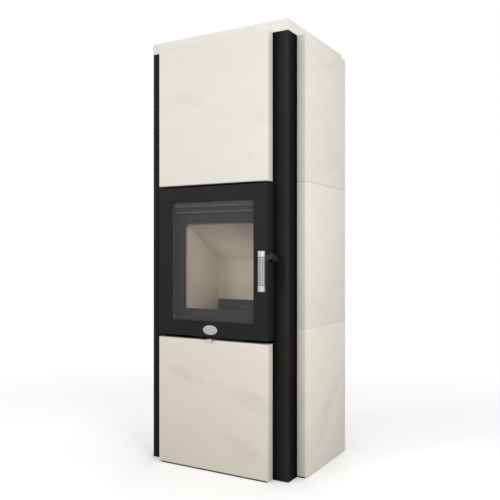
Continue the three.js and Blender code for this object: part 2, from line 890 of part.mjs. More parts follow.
function stand() {
  const top = floorBottom - seatGap;
  const path = [[standHalf, seatLevel], [standHalf, top], [-standHalf, top], [-standHalf, seatLevel]];
  const bench = prismY(foldedSheet(path, standSheet, standSheet), guideBack + guideWall, boxBack);
  return cut(bench, rodZ(0, airY, top - 2 * standSheet, top + 1, airRadius + pipeClearance));
}

function airPipe() {
  return bentPipe(airRadius, flueWall, [
    new THREE.Vector3(0, spigotEnd, airHeight),
    new THREE.Vector3(0, airY, airHeight),
    new THREE.Vector3(0, airY, floorBottom - seatGap),
  ], airBend);
}

function slideGuide() {
  const mouth = slidePlateFront - guideWall;
  const shape = outline([
    [mouth, slideBottom - seatGap - guideWall],
    [guideBack, slideBottom - seatGap - guideWall],
    [guideBack, floorBottom - seatGap],
    [mouth, floorBottom - seatGap],
    [mouth, slideTop + seatGap],
    [slidePlateBack + seatGap, slideTop + seatGap],
    [slidePlateBack + seatGap, slideBottom - seatGap],
    [mouth, slideBottom - seatGap],
  ]);
  const reach = slidePlateHalf + slideTravel + guideWall;
  const port = [slideBottom - guideWall * 3, floorBottom + 1, portDiameter / 2, 16];
  return cut(prismX(shape, -reach, reach), rodZ(-portX, portY, ...port), rodZ(portX, portY, ...port));
}

function airSlide() {
  const tongue = foldedSheet([
    [slidePlateFront + slideThickness, slideBottom],
    [tileFace - slideReach + slideThickness, slideBottom],
    [tileFace - slideReach + slideThickness, slideBottom - slideTabDrop],
  ].reverse(), slideThickness, slideThickness);
  const strip = prismX(tongue, -slideTab / 2, slideTab / 2);
  const depth = [slidePlateFront, slidePlateBack];
  const plate = block(-slidePlateHalf, slidePlateHalf, ...depth, slideBottom, slideTop);
  const port = [slideBottom - 1, slideTop + 1, portDiameter / 2, 16];
  return cut(join(strip, plate), rodZ(-portX, portY, ...port), rodZ(portX, portY, ...port));
}

piece('firebox_stand', stand(), boxSteel);
piece('air_inlet_pipe', airPipe(), blackSheet);
piece('slide_guide', slideGuide(), boxSteel);
piece('air_slide', airSlide(), stainless);

// ---- flue, storage shelf and storage blocks

const shelfBottom = doorTop + shelfRise;
const shelfTop = shelfBottom + shelfThickness;
const pipeHole = flueRadius + pipeClearance;

function storageShelf() {
  const reach = half - flangeWidth - seatGap;
  const shape = rectangle(-reach, reach, flangeWidth + seatGap, bodyDepth - casingSheet - seatGap);
  shape.holes.push(new THREE.Path().absarc(0, flueY, pipeHole, 0, 2 * Math.PI, true));
  return prismZ(shape, shelfBottom, shelfTop, 10);
}

function storageBlock(z0, z1) {
  const side = half - storageSide;
  const front = flangeWidth + storageFront;
  const body = chamferedSlab(-side, side, front, storageBack, z0, z1, storageChamfer);
  return cut(body, rodZ(0, flueY, z0 - 1, z1 + 1, pipeHole));
}

function flue() {
  return bentPipe(flueRadius, flueWall, [
    new THREE.Vector3(0, flueY, roofTop + seatGap),
    new THREE.Vector3(0, flueY, flueZ),
    new THREE.Vector3(0, spigotEnd, flueZ),
  ], flueBend);
}

const storageBottom = shelfTop + seatGap;
const storageTop = flueZ - flueBend - pipeClearance;
const storageMiddle = (storageBottom + storageTop) / 2;
piece('storage_shelf', storageShelf(), boxSteel);
piece('storage_block_lower', storageBlock(storageBottom, storageMiddle - seatGap / 2), storageStone);
piece('storage_block_upper', storageBlock(storageMiddle + seatGap / 2, storageTop), storageStone);
piece('flue_elbow', flue(), blackSheet);

// ---- door: frame, glass, back frame and seal

// opening through the door's face, with a small chamfer round its front edge
function apertureCutters() {
  const width = 2 * (apertureHalf - apertureBevel);
  const height = apertureTop - apertureBottom - 2 * apertureBevel;
  const window = new THREE.BoxGeometry(width, 4 * doorFace, height);
  const bevel = new THREE.BoxGeometry(width, 2 * apertureBevel, height);
  const position = bevel.attributes.position;
  for (let i = 0; i < position.count; i += 1) {
    const grow = position.getY(i) < 0 ? 2 * apertureBevel : 0;
    position.setX(i, position.getX(i) + Math.sign(position.getX(i)) * grow);
    position.setZ(i, position.getZ(i) + Math.sign(position.getZ(i)) * grow);
  }
  const centre = (apertureBottom + apertureTop) / 2;
  return [window, bevel].map((cutter) => cutter.translate(0, doorFront, centre));
}

function doorFrame() {
  const outside = [-tileHalf, tileHalf, doorFront, doorBack, doorBottom, doorTop];
  const shell = frontSlab(...outside, doorEdgeRadius, 2);
  const innerHalf = tileHalf - doorWall;
  const depth = [doorFront + doorFace, doorBack + 1];
  const hollow = block(-innerHalf, innerHalf, ...depth, doorBottom + doorWall, doorTop - doorWall);
  const bossWall = doorWall / 2;
  const bossAcross = [-tileHalf + bossWall, hingeX + bossWidth / 2];
  const bossDepth = [doorFront + doorFace / 2, hingeY + bossWidth / 2];
  const bosses = [
    block(...bossAcross, ...bossDepth, doorBottom + bossWall, doorBottom + pinLength),
    block(...bossAcross, ...bossDepth, doorTop - pinLength, doorTop - bossWall),
  ];
  const body = join(cut(shell, hollow, ...apertureCutters()), ...bosses);
  const pinBore = pinDiameter / 2 + pinClearance;
  const shaftBore = shaftDiameter / 2 + pinClearance;
  return cut(
    body,
    rodZ(hingeX, hingeY, doorBottom - 1, doorBottom + pinLength + 1, pinBore),
    rodZ(hingeX, hingeY, doorTop - pinLength - 1, doorTop + 1, pinBore),
    rodX(innerHalf - 1, tileHalf + 1, latchY, latchZ, shaftBore),
  );
}

const glassHalf = apertureHalf + glassOverlap;
const glassBottom = apertureBottom - glassOverlap;
const glassTop = apertureTop + glassOverlap;
const webOuter = glassOverlap + seatGap + clampSheet;
const flangeBack = doorBack - backFlangeInset + clampSheet;
const gasketInner = webOuter + gasketOffset;

function doorBackFrame() {
  const clamp = frameRing(
    apertureHalf + webOuter,
    apertureBottom - webOuter,
    apertureTop + webOuter,
    webOuter - glassOverlap + clampLap,
    glassBack + seatGap,
    glassBack + seatGap + clampSheet,
  );
  const web = frameRing(
    apertureHalf + webOuter,
    apertureBottom - webOuter,
    apertureTop + webOuter,
    clampSheet,
    glassBack + seatGap,
    flangeBack,
  );
  const edge = doorWall + seatGap;
  const opening = rectangle(
    -apertureHalf - webOuter + clampSheet,
    apertureHalf + webOuter - clampSheet,
    apertureBottom - webOuter + clampSheet,
    apertureTop + webOuter - clampSheet,
  );
  const plate = rectangle(-tileHalf + edge, tileHalf - edge, doorBottom + edge, doorTop - edge);
  plate.holes.push(opening);
  const flange = prismY(plate, flangeBack - clampSheet, flangeBack);
  const latchNotch = block(
    apertureHalf + gasketInner + gasketWidth + 1,
    tileHalf,
    flangeBack - 2 * clampSheet,
    flangeBack + 1,
    latchZ - camLength - camNoseRadius - keeperNotchGap,
    keeperPinZ + keeperEarRise + keeperNotchGap,
  );
  const besideBoss = [-tileHalf, hingeX + bossWidth / 2 + bossGap, glassBack, flangeBack + 1];
  const bossNotches = [
    block(...besideBoss, doorBottom, doorBottom + pinLength + bossGap),
    block(...besideBoss, doorTop - pinLength - bossGap, doorTop),
  ];
  return cut(join(clamp, web, flange), latchNotch, ...bossNotches);
}

function doorSeal() {
  const outerHalf = apertureHalf + gasketInner + gasketWidth;
  const low = apertureBottom - gasketInner - gasketWidth;
  const high = apertureTop + gasketInner + gasketWidth;
  return frameRing(outerHalf, low, high, gasketWidth, flangeBack + seatGap, -seatGap);
}

piece('door_frame', doorFrame(), castIron);
const pane = block(-glassHalf, glassHalf, glassFront, glassBack, glassBottom, glassTop);
piece('door_glass', pane, ceramicGlass);
piece('door_back_frame', doorBackFrame(), boxSteel);
piece('door_seal', doorSeal(), ropeSeal);

function hingePin(z0, z1) {
  return rodZ(hingeX, hingeY, z0, z1, pinDiameter / 2, 16);
}

const upperLugTop = upperLugBottom + lugThickness;
piece('hinge_pin_upper', hingePin(doorTop - pinLength, upperLugTop), zincSteel);
piece('hinge_pin_lower', hingePin(lowerLugBottom, doorBottom + pinLength), zincSteel);

// ---- latch: shaft with its cam, and the keeper on the firebox frame

// the cam's upper flank comes up under the keeper's pin, and drops away as the lever is raised
function latchShaft() {
  const cam = new THREE.Shape();
  cam.absarc(latchY, latchZ, camHubRadius, flankAngle, camTilt - camSpread + 2 * Math.PI, false);
  cam.absarc(camNoseY, camNoseZ, camNoseRadius, camTilt - camSpread, flankAngle, false);
  return join(
    prismX(cam, camX0, camX1, 10),
    rodX(camX0, leverInner - seatGap, latchY, latchZ, shaftDiameter / 2),
    rodX(camX1, leverOuter - spigotInset, latchY, latchZ, spigotDiameter / 2),
  );
}

// a slotted plate above the pin, and an ear on each side of the cam that holds the pin
function latchKeeper() {
  const x0 = camX0 - keeperSideGap - keeperCheek;
  const x1 = camX1 + keeperSideGap + keeperCheek;
  const back = [-keeperPlate - seatGap, -seatGap];
  const plate = block(x0, x1, ...back, keeperPinZ - earRadius, keeperPinZ + keeperPlateRise);
  const ear = new THREE.Shape();
  ear.moveTo(-keeperPlate, keeperPinZ + keeperEarRise);
  ear.absarc(keeperPinY, keeperPinZ, earRadius, 0.75 * Math.PI, 1.5 * Math.PI, false);
  ear.lineTo(-keeperPlate, keeperPinZ - earRadius);
  const middle = (camX0 + camX1) / 2;
  const slotSpan = (keeperEarRise + keeperPlateRise) / 2;
  const slot = [
    block(
      middle - keeperSlotWidth / 2,
      middle + keeperSlotWidth / 2,
      -2 * keeperPlate,
      keeperPlate,
      keeperPinZ + slotSpan - keeperSlotLength / 2,
      keeperPinZ + slotSpan + keeperSlotLength / 2,
    ),
  ];
  for (const end of [-1, 1]) {
    const z = keeperPinZ + slotSpan + (end * keeperSlotLength) / 2;
    slot.push(rodY(middle, -2 * keeperPlate, keeperPlate, z, keeperSlotWidth / 2, 12));
  }
  const bracket = join(
    plate,
    prismX(ear, x0, x0 + keeperCheek, 8),
    prismX(ear, x1 - keeperCheek, x1, 8),
    rodX(x0, x1, keeperPinY, keeperPinZ, keeperPinDiameter / 2, 14),
  );
  return cut(bracket, ...slot);
}

piece('latch_shaft', latchShaft(), zincSteel);
piece('latch_keeper', latchKeeper(), zincSteel);

// ---- lever and perforated grip

// direction of the bar's front leg, whose centre line meets the grip's axis
const legLength = Math.hypot(leverOuter - gripX, bendY - gripY);
const legTurn = Math.asin(leverThickness / 2 / legLength);
const legAngle = Math.atan2(bendY - gripY, leverOuter - gripX) + legTurn;
const legSlope = (leverRise + leverDrop) / legLength;

// a bar that climbs from the grip to the bend, then runs down and back to the shaft
function leverBar() {
  const start = [
    gripX + (Math.sin(legAngle) * leverThickness) / 2,
    gripY - (Math.cos(legAngle) * leverThickness) / 2,
  ];
  const path = [start, [leverOuter, bendY], [leverOuter, latchY]];
  const section = foldedSheet(path, leverThickness, leverBendRadius);
  const bar = prismZ(section, -leverHeight / 2, leverHeight / 2);
  const position = bar.attributes.position;
  for (let i = 0; i < position.count; i += 1) {
    const fromShaft = (latchY - position.getY(i)) / (latchY - bendY);
    const fromGrip = (position.getX(i) - start[0]) / (leverInner - start[0]);
    const rise = position.getY(i) > bendY
      ? leverRise * THREE.MathUtils.clamp(fromShaft, 0, 1)
      : (leverRise + leverDrop) * THREE.MathUtils.clamp(fromGrip, 0, 1) - leverDrop;
    position.setZ(i, position.getZ(i) + rise);
  }
  return bar.translate(0, 0, latchZ);
}

function handleLever() {
  const low = gripBottom + capEnd + seatGap;
  const high = gripTop - capEnd - seatGap;
  const core = rodZ(gripX, gripY, low, high, coreDiameter / 2, 16);
  const hub = rodX(leverInner, leverOuter, latchY, latchZ, leverHeight / 2 + leverHubRim);
  const lever = join(leverBar(), core, hub);
  const bore = spigotDiameter / 2 + seatGap;
  return cut(lever, rodX(leverInner - 1, leverOuter + 1, latchY, latchZ, bore));
}

// slot that lets the lever through the side of the grip
function leverSlot() {
  const reach = gripDiameter;
  const width = leverThickness + 2 * seatGap;
  const low = -leverDrop - leverHeight / 2 - seatGap;
  const high = -leverDrop + (legSlope * capDiameter) / 2 + leverHeight / 2 + seatGap;
  const slot = new THREE.BoxGeometry(reach, width, high - low);
  slot.translate(reach / 2, 0, (low + high) / 2);
  slot.rotateZ(legAngle);
  return slot.translate(gripX, gripY, latchZ);
}

// thin tube with one column of holes in the middle of every second flat
function gripSleeve() {
  const low = gripBottom + capLength + seatGap;
  const high = gripTop - capLength - seatGap;
  const outer = gripDiameter / 2;
  const flats = 2 * gripHoleColumns;
  const tube = prismZ(annulus(outer, outer - gripWall), low, high, flats / 2);
  tube.rotateZ(Math.PI / flats);
  let sleeve = solid(tube.translate(gripX, gripY, 0));
  const rows = Math.floor((high - low - gripHoleDiameter) / gripHolePitch) + 1;
  const first = (low + high - (rows - 1) * gripHolePitch) / 2;
  const slotBottom = latchZ - leverDrop - leverHeight / 2 - gripHoleDiameter;
  for (let column = 0; column < gripHoleColumns; column += 1) {
    const angle = (column * 2 * Math.PI) / gripHoleColumns;
    const besideSlot = Math.cos(angle - legAngle) > Math.cos(Math.PI / gripHoleColumns);
    for (let row = 0; row < rows; row += 1) {
      const z = first + row * gripHolePitch;
      if (besideSlot && z > slotBottom) continue;
      const radius = gripHoleDiameter / 2;
      const drill = new THREE.CylinderGeometry(radius, radius, outer, 8);
      drill.rotateX(Math.PI / 8).rotateZ(Math.PI / 2).translate(outer, 0, 0).rotateZ(angle);
      sleeve = sleeve.subtract(solid(drill.translate(gripX, gripY, z)));
    }
  }
  return geometryOf(sleeve.subtract(solid(leverSlot())));
}

function gripCap(upwards) {
  const radius = capDiameter / 2;
  const bore = coreDiameter / 2 + seatGap;
  const profile = [
    [0, capLength],
    [radius - capEdge, capLength],
    [radius, capLength - capEdge],
    [radius, 0],
    [bore, 0],
    [bore, capLength - capEnd],
    [0, capLength - capEnd],
  ].map(([r, z]) => new THREE.Vector2(r, z)).reverse();
  const cap = new THREE.LatheGeometry(profile, 24);
  cap.rotateX(upwards ? Math.PI / 2 : -Math.PI / 2);
  const base = upwards ? gripTop - capLength : gripBottom + capLength;
  return cap.translate(gripX, gripY, base);
}

piece('handle_lever', handleLever(), blackSheet);
piece('grip_sleeve', gripSleeve(), stainless);
piece('grip_cap_upper', cut(gripCap(true), leverSlot()), stainless);
piece('grip_cap_lower', gripCap(false), stainless);

export default stove;
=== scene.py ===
import json
import math

import bmesh
import bpy
from mathutils import Matrix, Vector


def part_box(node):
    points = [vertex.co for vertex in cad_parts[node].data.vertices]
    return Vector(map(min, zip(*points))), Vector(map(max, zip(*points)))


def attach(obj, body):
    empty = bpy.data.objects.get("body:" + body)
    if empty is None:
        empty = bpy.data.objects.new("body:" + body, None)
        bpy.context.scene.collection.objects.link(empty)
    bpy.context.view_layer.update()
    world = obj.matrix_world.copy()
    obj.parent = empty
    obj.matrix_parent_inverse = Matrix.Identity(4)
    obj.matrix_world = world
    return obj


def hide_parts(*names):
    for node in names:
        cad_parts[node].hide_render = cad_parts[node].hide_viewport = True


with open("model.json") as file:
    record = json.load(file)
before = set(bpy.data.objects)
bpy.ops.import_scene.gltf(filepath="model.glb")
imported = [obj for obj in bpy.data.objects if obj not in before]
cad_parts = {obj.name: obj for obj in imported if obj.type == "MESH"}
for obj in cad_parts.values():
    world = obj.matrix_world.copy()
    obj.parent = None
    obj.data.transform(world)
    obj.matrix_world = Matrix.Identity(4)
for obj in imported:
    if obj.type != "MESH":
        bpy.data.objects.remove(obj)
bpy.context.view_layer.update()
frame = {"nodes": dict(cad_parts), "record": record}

# ------------------------------------------------------------------ places taken from the frame

DOOR_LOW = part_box("door_frame")[0]
SLEEVE_LOW, SLEEVE_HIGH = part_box("grip_sleeve")
CASE_LOW, CASE_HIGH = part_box("rear_casing")
SEAL_LOW, SEAL_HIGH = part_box("door_seal")

BODY_OF = {
    node: body
    for body, nodes in frame["record"]["behaviour"]["bodies"].items()
    for node in nodes
}

# ------------------------------------------------------------------ sizes in metres, and counts

SAME_PLACE = 1e-6            # points closer than this are one point
SEAM = 1e-5                  # and this where a rolled sheet or a ring closes
SMOOTH_ANGLE = 35            # degrees between faces, up to which a surface looks round

SLAB_ARRIS = 0.0015          # softened edges of the side slabs and the cover
TILE_ROUND = 0.005           # rounded front edges of the front tiles
TILE_ARRIS = 0.0008

OVAL_WIDTH = 0.0595          # bare oval plate on the door's bottom rail
OVAL_HEIGHT = 0.034
OVAL_DEPTH = 0.0028
OVAL_ARRIS = 0.0007
OVAL_RIM = 0.0018
OVAL_STEP = 0.0005
OVAL_SIDES = 72
OVAL_CENTRE_X = -0.002
OVAL_CENTRE_Z = DOOR_LOW.z + 0.0257

COAT_EDGE = 0.001            # width over which one tone of a coat passes into the next
STRIP_STEP = 0.0215          # height of one step of the air strip behind the glass
# height of the painted highlight along the strip's lower lip
STRIP_LIP = 0.004
POST_BEND_HIGHLIGHT = 0.004            # widths of the corner posts' painted highlight over the bend and painted shade along the return
POST_RETURN_SHADE = 0.055

GRIP_WALL = 0.0015           # perforated grip sleeve
GRIP_ROWS = 12
GRIP_COLUMNS = 9
GRIP_HOLE = 0.006
GRIP_SQUARES = 6             # mesh squares across one hole's cell
GRIP_COLUMN_AT = -45.7       # direction of one column of holes, in degrees from +X
LINER_GAP = 0.0004           # dark liner inside the sleeve, a painted shade behind the holes
LINER_WALL = 0.001
LINER_SIDES = 40

CAP_PROUD = 0.0007           # turned caps of the grip, a little wider than the sleeve
CAP_ARRIS = 0.0015
CAP_ARRIS_STEPS = 4
CAP_INNER_ARRIS = 0.0004
CAP_BORE = 0.0073
CAP_END = 0.006
CAP_SIDES = 56

PIPE_WALL = 0.002
PIPE_SIDES = 64
PIPE_BEND_STEPS = 12
FLUE_BEND = 0.11
AIR_BEND = 0.08

ROPE_WIDTH = 0.01            # door seal
ROPE_SIDES = 14
ROPE_CORNER = 0.02
ROPE_CORNER_STEPS = 6

SCREW_RADIUS = 0.0045        # pan heads on the rear casing
SCREW_HEIGHT = 0.0022
SCREW_DOME = ((0.7, 0.94), (0.93, 0.6), (1, 0))      # shares of that radius and height
SCREW_SOCKET = 0.0016
SCREW_SOCKET_DEPTH = 0.0008
SCREW_SIDES = 18
SCREW_INSET = 0.018
SCREW_COUNT = 6

# ------------------------------------------------------------------ camera, light and floor

CAMERA_PLACE = (1.29049, -2.20272, 0.79607)          # found from the stove's own edges
CAMERA_TURN = 29.92          # degrees to the left of +Y, level
FOCAL_PIXELS = 647.67        # on a picture 500 wide
PICTURE = 500                # the picture's width and height
HORIZON_ROW = 251.54
SENSOR = 36                  # millimetres

AMBIENT = 0.46               # level of the surroundings as a light
FLOOR_HALF = 9               # half the floor's side
FLOOR_TONE = 0.9
FLOOR_LIGHT = 0.885          # light that falls on the open floor
FLOOR_BOUNCE = 0.17          # share of its tone that the floor throws back at the stove
FLOOR_NEAR = 0.9             # the floor's own shade fades out between these distances
FLOOR_FAR = 2.4

# ------------------------------------------------------------------ tones

UNEVEN = (0.3, 0.7)          # range of a noise that most patches use
CREAM = (0.79, 0.762, 0.682)
CREAM_FLECK = (0.66, 0.63, 0.56)
CREAM_FIBRE = (0.60, 0.575, 0.505)
CREAM_VEIN = (0.45, 0.435, 0.39)
CREAM_WARMTH = (0, 0.04, 0.09)       # shares of each channel that the warmest glaze lacks
CREAM_CLOUD = 0.045          # how much darker a cloud is where the grain is full
CREAM_SPECKS = 0.15          # share of flecks and of fibres where the grain is full
CREAM_BANDS = (0.9, 0.9, 0.2)        # size of the pattern along its own axes
SMUDGE_SIZE = 1.6            # noise across a vein's reach, and how far it sways the outline
SMUDGE_SWAY = 1.2


# ------------------------------------------------------------------ material building blocks


class Finish:
    """One procedural material: a Principled shader and the textures that feed it."""

    def __init__(self, name):
        self.material = bpy.data.materials.new(name)
        self.material.use_nodes = True
        self.tree = self.material.node_tree
        self.tree.nodes.clear()
        output = self.add("ShaderNodeOutputMaterial")
        self.shader = self.add("ShaderNodeBsdfPrincipled")
        self.link(self.shader.outputs["BSDF"], output.inputs["Surface"])
        self.place = self.add("ShaderNodeTexCoord").outputs["Object"]

    def add(self, kind, **values):
        node = self.tree.nodes.new(kind)
        for key, value in values.items():
            setattr(node, key, value)
        return node

    def link(self, source, target):
        self.tree.links.new(source, target)

    def set(self, **values):
        for key, value in values.items():
            self.shader.inputs[key.replace("_", " ")].default_value = value

    def along(self, axis):
        """How far a point lies along X, Y or Z."""
        node = self.add("ShaderNodeSeparateXYZ")
        self.link(self.place, node.inputs["Vector"])
        return node.outputs[axis]

    def turned(self, offset=(0, 0, 0), turn=(0, 0, 0), size=(1, 1, 1)):
        """Coordinates moved by an offset, turned, then divided by a size along each axis."""
        node = self.add("ShaderNodeMapping", vector_type="TEXTURE")
        self.link(self.place, node.inputs["Vector"])
        node.inputs["Location"].default_value = offset
        node.inputs["Rotation"].default_value = [math.radians(angle) for angle in turn]
        node.inputs["Scale"].default_value = size
        return node.outputs["Vector"]

    def noise(self, scale, detail=4, roughness=0.55, distortion=0, vector=None, output="Fac"):
        node = self.add("ShaderNodeTexNoise")
        self.link(vector or self.place, node.inputs["Vector"])
        node.inputs["Scale"].default_value = scale
        node.inputs["Detail"].default_value = detail
        node.inputs["Roughness"].default_value = roughness
        node.inputs["Distortion"].default_value = distortion
        return node.outputs[output]

    def spread(self, value, low, high, to_low=0.0, to_high=1.0, soft=False):
        """A value's range from low to high, stretched over another range."""
        interpolation = "SMOOTHSTEP" if soft else "LINEAR"
        node = self.add("ShaderNodeMapRange", interpolation_type=interpolation)
        self.link(value, node.inputs["Value"])
        node.inputs["From Min"].default_value = low
        node.inputs["From Max"].default_value = high
        node.inputs["To Min"].default_value = to_low
        node.inputs["To Max"].default_value = to_high
        return node.outputs["Result"]

    def patches(self, scale, detail, to_low=0.0, to_high=1.0):
        """Plain noise, spread over a range."""
        return self.spread(self.noise(scale, detail), *UNEVEN, to_low, to_high)

    def blend(self, amount, first, second):
        """Passes from the first colour to the second; each is a colour or a socket."""
        node = self.add("ShaderNodeMix", data_type="RGBA")
        self.link(amount, node.inputs["Factor"])
        for socket, value in ((node.inputs["A"], first), (node.inputs["B"], second)):
            if isinstance(value, tuple):
                socket.default_value = (*value, 1)
            else:
                self.link(value, socket)
        return node.outputs["Result"]

    def absolute(self, value):
        node = self.add("ShaderNodeMath", operation="ABSOLUTE")
        self.link(value, node.inputs[0])
        return node.outputs["Value"]

    def multiply(self, first, second):
        node = self.add("ShaderNodeMath", operation="MULTIPLY")
        self.link(first, node.inputs[0])
        if isinstance(second, (int, float)):
            node.inputs[1].default_value = second
        else:
            self.link(second, node.inputs[1])
        return node.outputs["Value"]

    def length(self, vector):
        node = self.add("ShaderNodeVectorMath", operation="LENGTH")
        self.link(vector, node.inputs[0])
        return node.outputs["Value"]

    def smudge(self, point, turn, reach):
        """1 in a ragged patch round a point, 0 outside its reach along each turned axis."""
        local = self.turned(point, turn, reach)
        moved = self.add("ShaderNodeVectorMath", operation="MULTIPLY_ADD")
        self.link(self.noise(SMUDGE_SIZE, 4, 0.5, vector=local, output="Color"), moved.inputs[0])
        moved.inputs[1].default_value = (SMUDGE_SWAY,) * 3
        self.link(local, moved.inputs[2])
        centred = self.add("ShaderNodeVectorMath", operation="SUBTRACT")
        self.link(moved.outputs["Vector"], centred.inputs[0])
        centred.inputs[1].default_value = (SMUDGE_SWAY / 2,) * 3
        return self.spread(self.length(centred.outputs["Vector"]), 0.25, 1, 1, 0, soft=True)

    def colour(self, source):
        self.link(source, self.shader.inputs["Base Color"])

    def rough(self, source):
        self.link(source, self.shader.inputs["Roughness"])

    def bump(self, height, strength, distance):
        node = self.add("ShaderNodeBump")
        node.inputs["Strength"].default_value = strength
        node.inputs["Distance"].default_value = distance
        self.link(height, node.inputs["Height"])
        self.link(node.outputs["Normal"], self.shader.inputs["Normal"])
        return self.material


# ------------------------------------------------------------------ the stove's finishes


def cream_ceramic(node, offset, grain_turn, tone, warmth, grain, veins):
    """Satin cream slab: soft clouds, faint slanting grain and a few smudged veins of its own."""
    finish = Finish(f"cream_ceramic_{node}")
    finish.set(IOR=1.5, Specular_IOR_Level=0.3)

    def shade(colour):
        return tuple(
            part * tone * (1 - warmth * lack) for part, lack in zip(colour, CREAM_WARMTH)
        )

    bands = finish.turned(offset, grain_turn, CREAM_BANDS)
    clouds = finish.spread(finish.noise(2.6, 3, 0.5, 0.4, bands), 0.36, 0.66)
    fibres = finish.spread(finish.noise(9, 6, 0.65, 1.0, bands), 0.45, 0.75)
    flecks = finish.spread(finish.noise(70, 4, 0.7, 0.3, bands), 0.5, 0.75)
    threads = finish.spread(finish.noise(30, 6, 0.7, 1.2, bands), *UNEVEN)
    darker = [part * (1 - CREAM_CLOUD * grain) for part in CREAM]
    specks = CREAM_SPECKS * grain
    glaze = finish.blend(clouds, shade(CREAM), shade(darker))
    glaze = finish.blend(finish.multiply(flecks, specks), glaze, shade(CREAM_FLECK))
    glaze = finish.blend(finish.multiply(fibres, specks), glaze, shade(CREAM_FIBRE))
    for point, turn, reach, strength in veins:
        patch = finish.multiply(finish.smudge(point, turn, reach), threads)
        glaze = finish.blend(finish.multiply(patch, strength), glaze, shade(CREAM_VEIN))
    finish.colour(glaze)
    finish.rough(finish.patches(60, 4, 0.38, 0.52))
    return finish.bump(finish.noise(90, 5, 0.6), 0.04, 0.001)


def powder_grain(finish):
    """The fine grain that all powder coat has."""
    finish.rough(finish.patches(400, 2, 0.29, 0.35))
    return finish.bump(finish.noise(900, 3, 0.7), 0.06, 0.0004)


def black_powder_coat():
    """Black powder coat on sheet steel."""
    finish = Finish("black_powder_coat")
    finish.set(IOR=1.5, Specular_IOR_Level=0.03)
    patches = finish.patches(4, 3)
    finish.colour(finish.blend(patches, (0.0115, 0.0115, 0.0115), (0.0138, 0.0138, 0.0135)))
    return powder_grain(finish)


def painted_light_post_coat():
    """Black coat of the corner posts, with painted light: a painted highlight that is palest along
    the bend, and painted shade that darkens the return towards the rear.
    """
    low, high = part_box("corner_post_right")
    finish = Finish("painted_light_post_coat")
    finish.set(IOR=1.5, Specular_IOR_Level=0.01)
    # painted highlight: the front face grows paler towards the outer edge and the bend
    outwards = finish.spread(finish.absolute(finish.along("X")), low.x, high.x, 0.006, 0.03)
    depth = finish.along("Y")
    # painted shade: the return behind the bend is darker than the front face
    bend = finish.spread(depth, low.y + COAT_EDGE, low.y + POST_BEND_HIGHLIGHT, 1, 0.42)
    # painted shade: the return darkens towards the rear, next to the slab
    painted_shade_rearwards = finish.spread(depth, low.y + POST_BEND_HIGHLIGHT, low.y + POST_RETURN_SHADE, 1, 0.08)
    patches = finish.patches(4, 3, 0.9, 1.1)
    tone = finish.multiply(finish.multiply(outwards, patches), finish.multiply(bend, painted_shade_rearwards))
    finish.colour(finish.blend(tone, (0, 0, 0), (1, 1, 0.985)))
    return powder_grain(finish)


def cast_door_paint():
    """Painted cast iron: a slightly uneven matt black face."""
    finish = Finish("cast_door_paint")
    finish.set(IOR=1.5, Specular_IOR_Level=0.05)
    finish.colour(finish.blend(finish.patches(7, 4), (0.017, 0.017, 0.017), (0.02, 0.02, 0.0196)))
    finish.rough(finish.patches(300, 3, 0.4, 0.5))
    return finish.bump(finish.noise(420, 6, 0.7), 0.08, 0.0005)


def frame_paint():
    """Smooth heat-resistant paint of the iron frame behind the glass."""
    finish = Finish("frame_paint")
    finish.set(IOR=1.5, Specular_IOR_Level=0.15)
    patches = finish.patches(5, 3)
    finish.colour(finish.blend(patches, (0.016, 0.016, 0.016), (0.019, 0.019, 0.019)))
    finish.rough(finish.spread(patches, 0, 1, 0.62, 0.7))
    return finish.bump(finish.noise(160, 3, 0.5), 0.02, 0.0004)


def painted_light_strip_paint():
    """Paint of the air strip, with painted light: its upper step has painted light that grows
    paler towards its foot, and its lower lip carries a bright painted highlight.
    """
    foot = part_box("air_wash_strip")[0].z
    finish = Finish("painted_light_strip_paint")
    finish.set(IOR=1.5, Specular_IOR_Level=0.15)
    level = finish.along("Z")
    above_lip = finish.spread(level, foot + STRIP_LIP, foot + STRIP_LIP + COAT_EDGE)
    above_step = finish.spread(level, foot + STRIP_STEP - COAT_EDGE, foot + STRIP_STEP)
    # painted light: the upper step grows paler towards its foot
    painted_light_towards_foot = finish.spread(level, foot + STRIP_STEP, foot + 2 * STRIP_STEP, 1, 0)
    # painted highlight: a bright line along the lower lip
    lower = finish.blend(above_lip, (0.16, 0.16, 0.16), (0.016, 0.016, 0.016))
    upper = finish.blend(painted_light_towards_foot, (0.025, 0.025, 0.025), (0.085, 0.085, 0.084))
    finish.colour(finish.blend(above_step, lower, upper))
    finish.rough(finish.patches(5, 3, 0.62, 0.7))
    return finish.bump(finish.noise(160, 3, 0.5), 0.02, 0.0004)


def lever_paint():
    """Dark grey satin paint on the lever's bar and its shaft."""
    finish = Finish("lever_paint")
    finish.set(IOR=1.5, Specular_IOR_Level=0.1)
    patches = finish.patches(30, 3)
    finish.colour(finish.blend(patches, (0.018, 0.018, 0.0175), (0.023, 0.023, 0.022)))
    finish.rough(finish.patches(260, 3, 0.42, 0.52))
    return finish.bump(finish.noise(700, 3, 0.6), 0.1, 0.0003)


def firebox_iron():
    """Dark cast iron in the firebox, dusted with pale ash."""
    finish = Finish("firebox_iron")
    finish.set(IOR=1.5, Specular_IOR_Level=0.2)
    dust = finish.spread(finish.noise(14, 6, 0.65), 0.42, 0.75)
    finish.colour(finish.blend(dust, (0.02, 0.02, 0.019), (0.045, 0.043, 0.04)))
    finish.rough(finish.patches(120, 3, 0.7, 0.88))
    return finish.bump(finish.noise(260, 6, 0.7), 0.3, 0.0005)


def stove_steel():
    """Matt heat-resistant paint on the firebox and its sheets."""
    finish = Finish("stove_steel")
    finish.set(IOR=1.5, Specular_IOR_Level=0.3)
    patches = finish.patches(6, 5)
    finish.colour(finish.blend(patches, (0.034, 0.034, 0.033), (0.05, 0.05, 0.048)))
    finish.rough(finish.patches(200, 3, 0.55, 0.75))
    return finish.bump(finish.noise(500, 4, 0.6), 0.1, 0.0003)


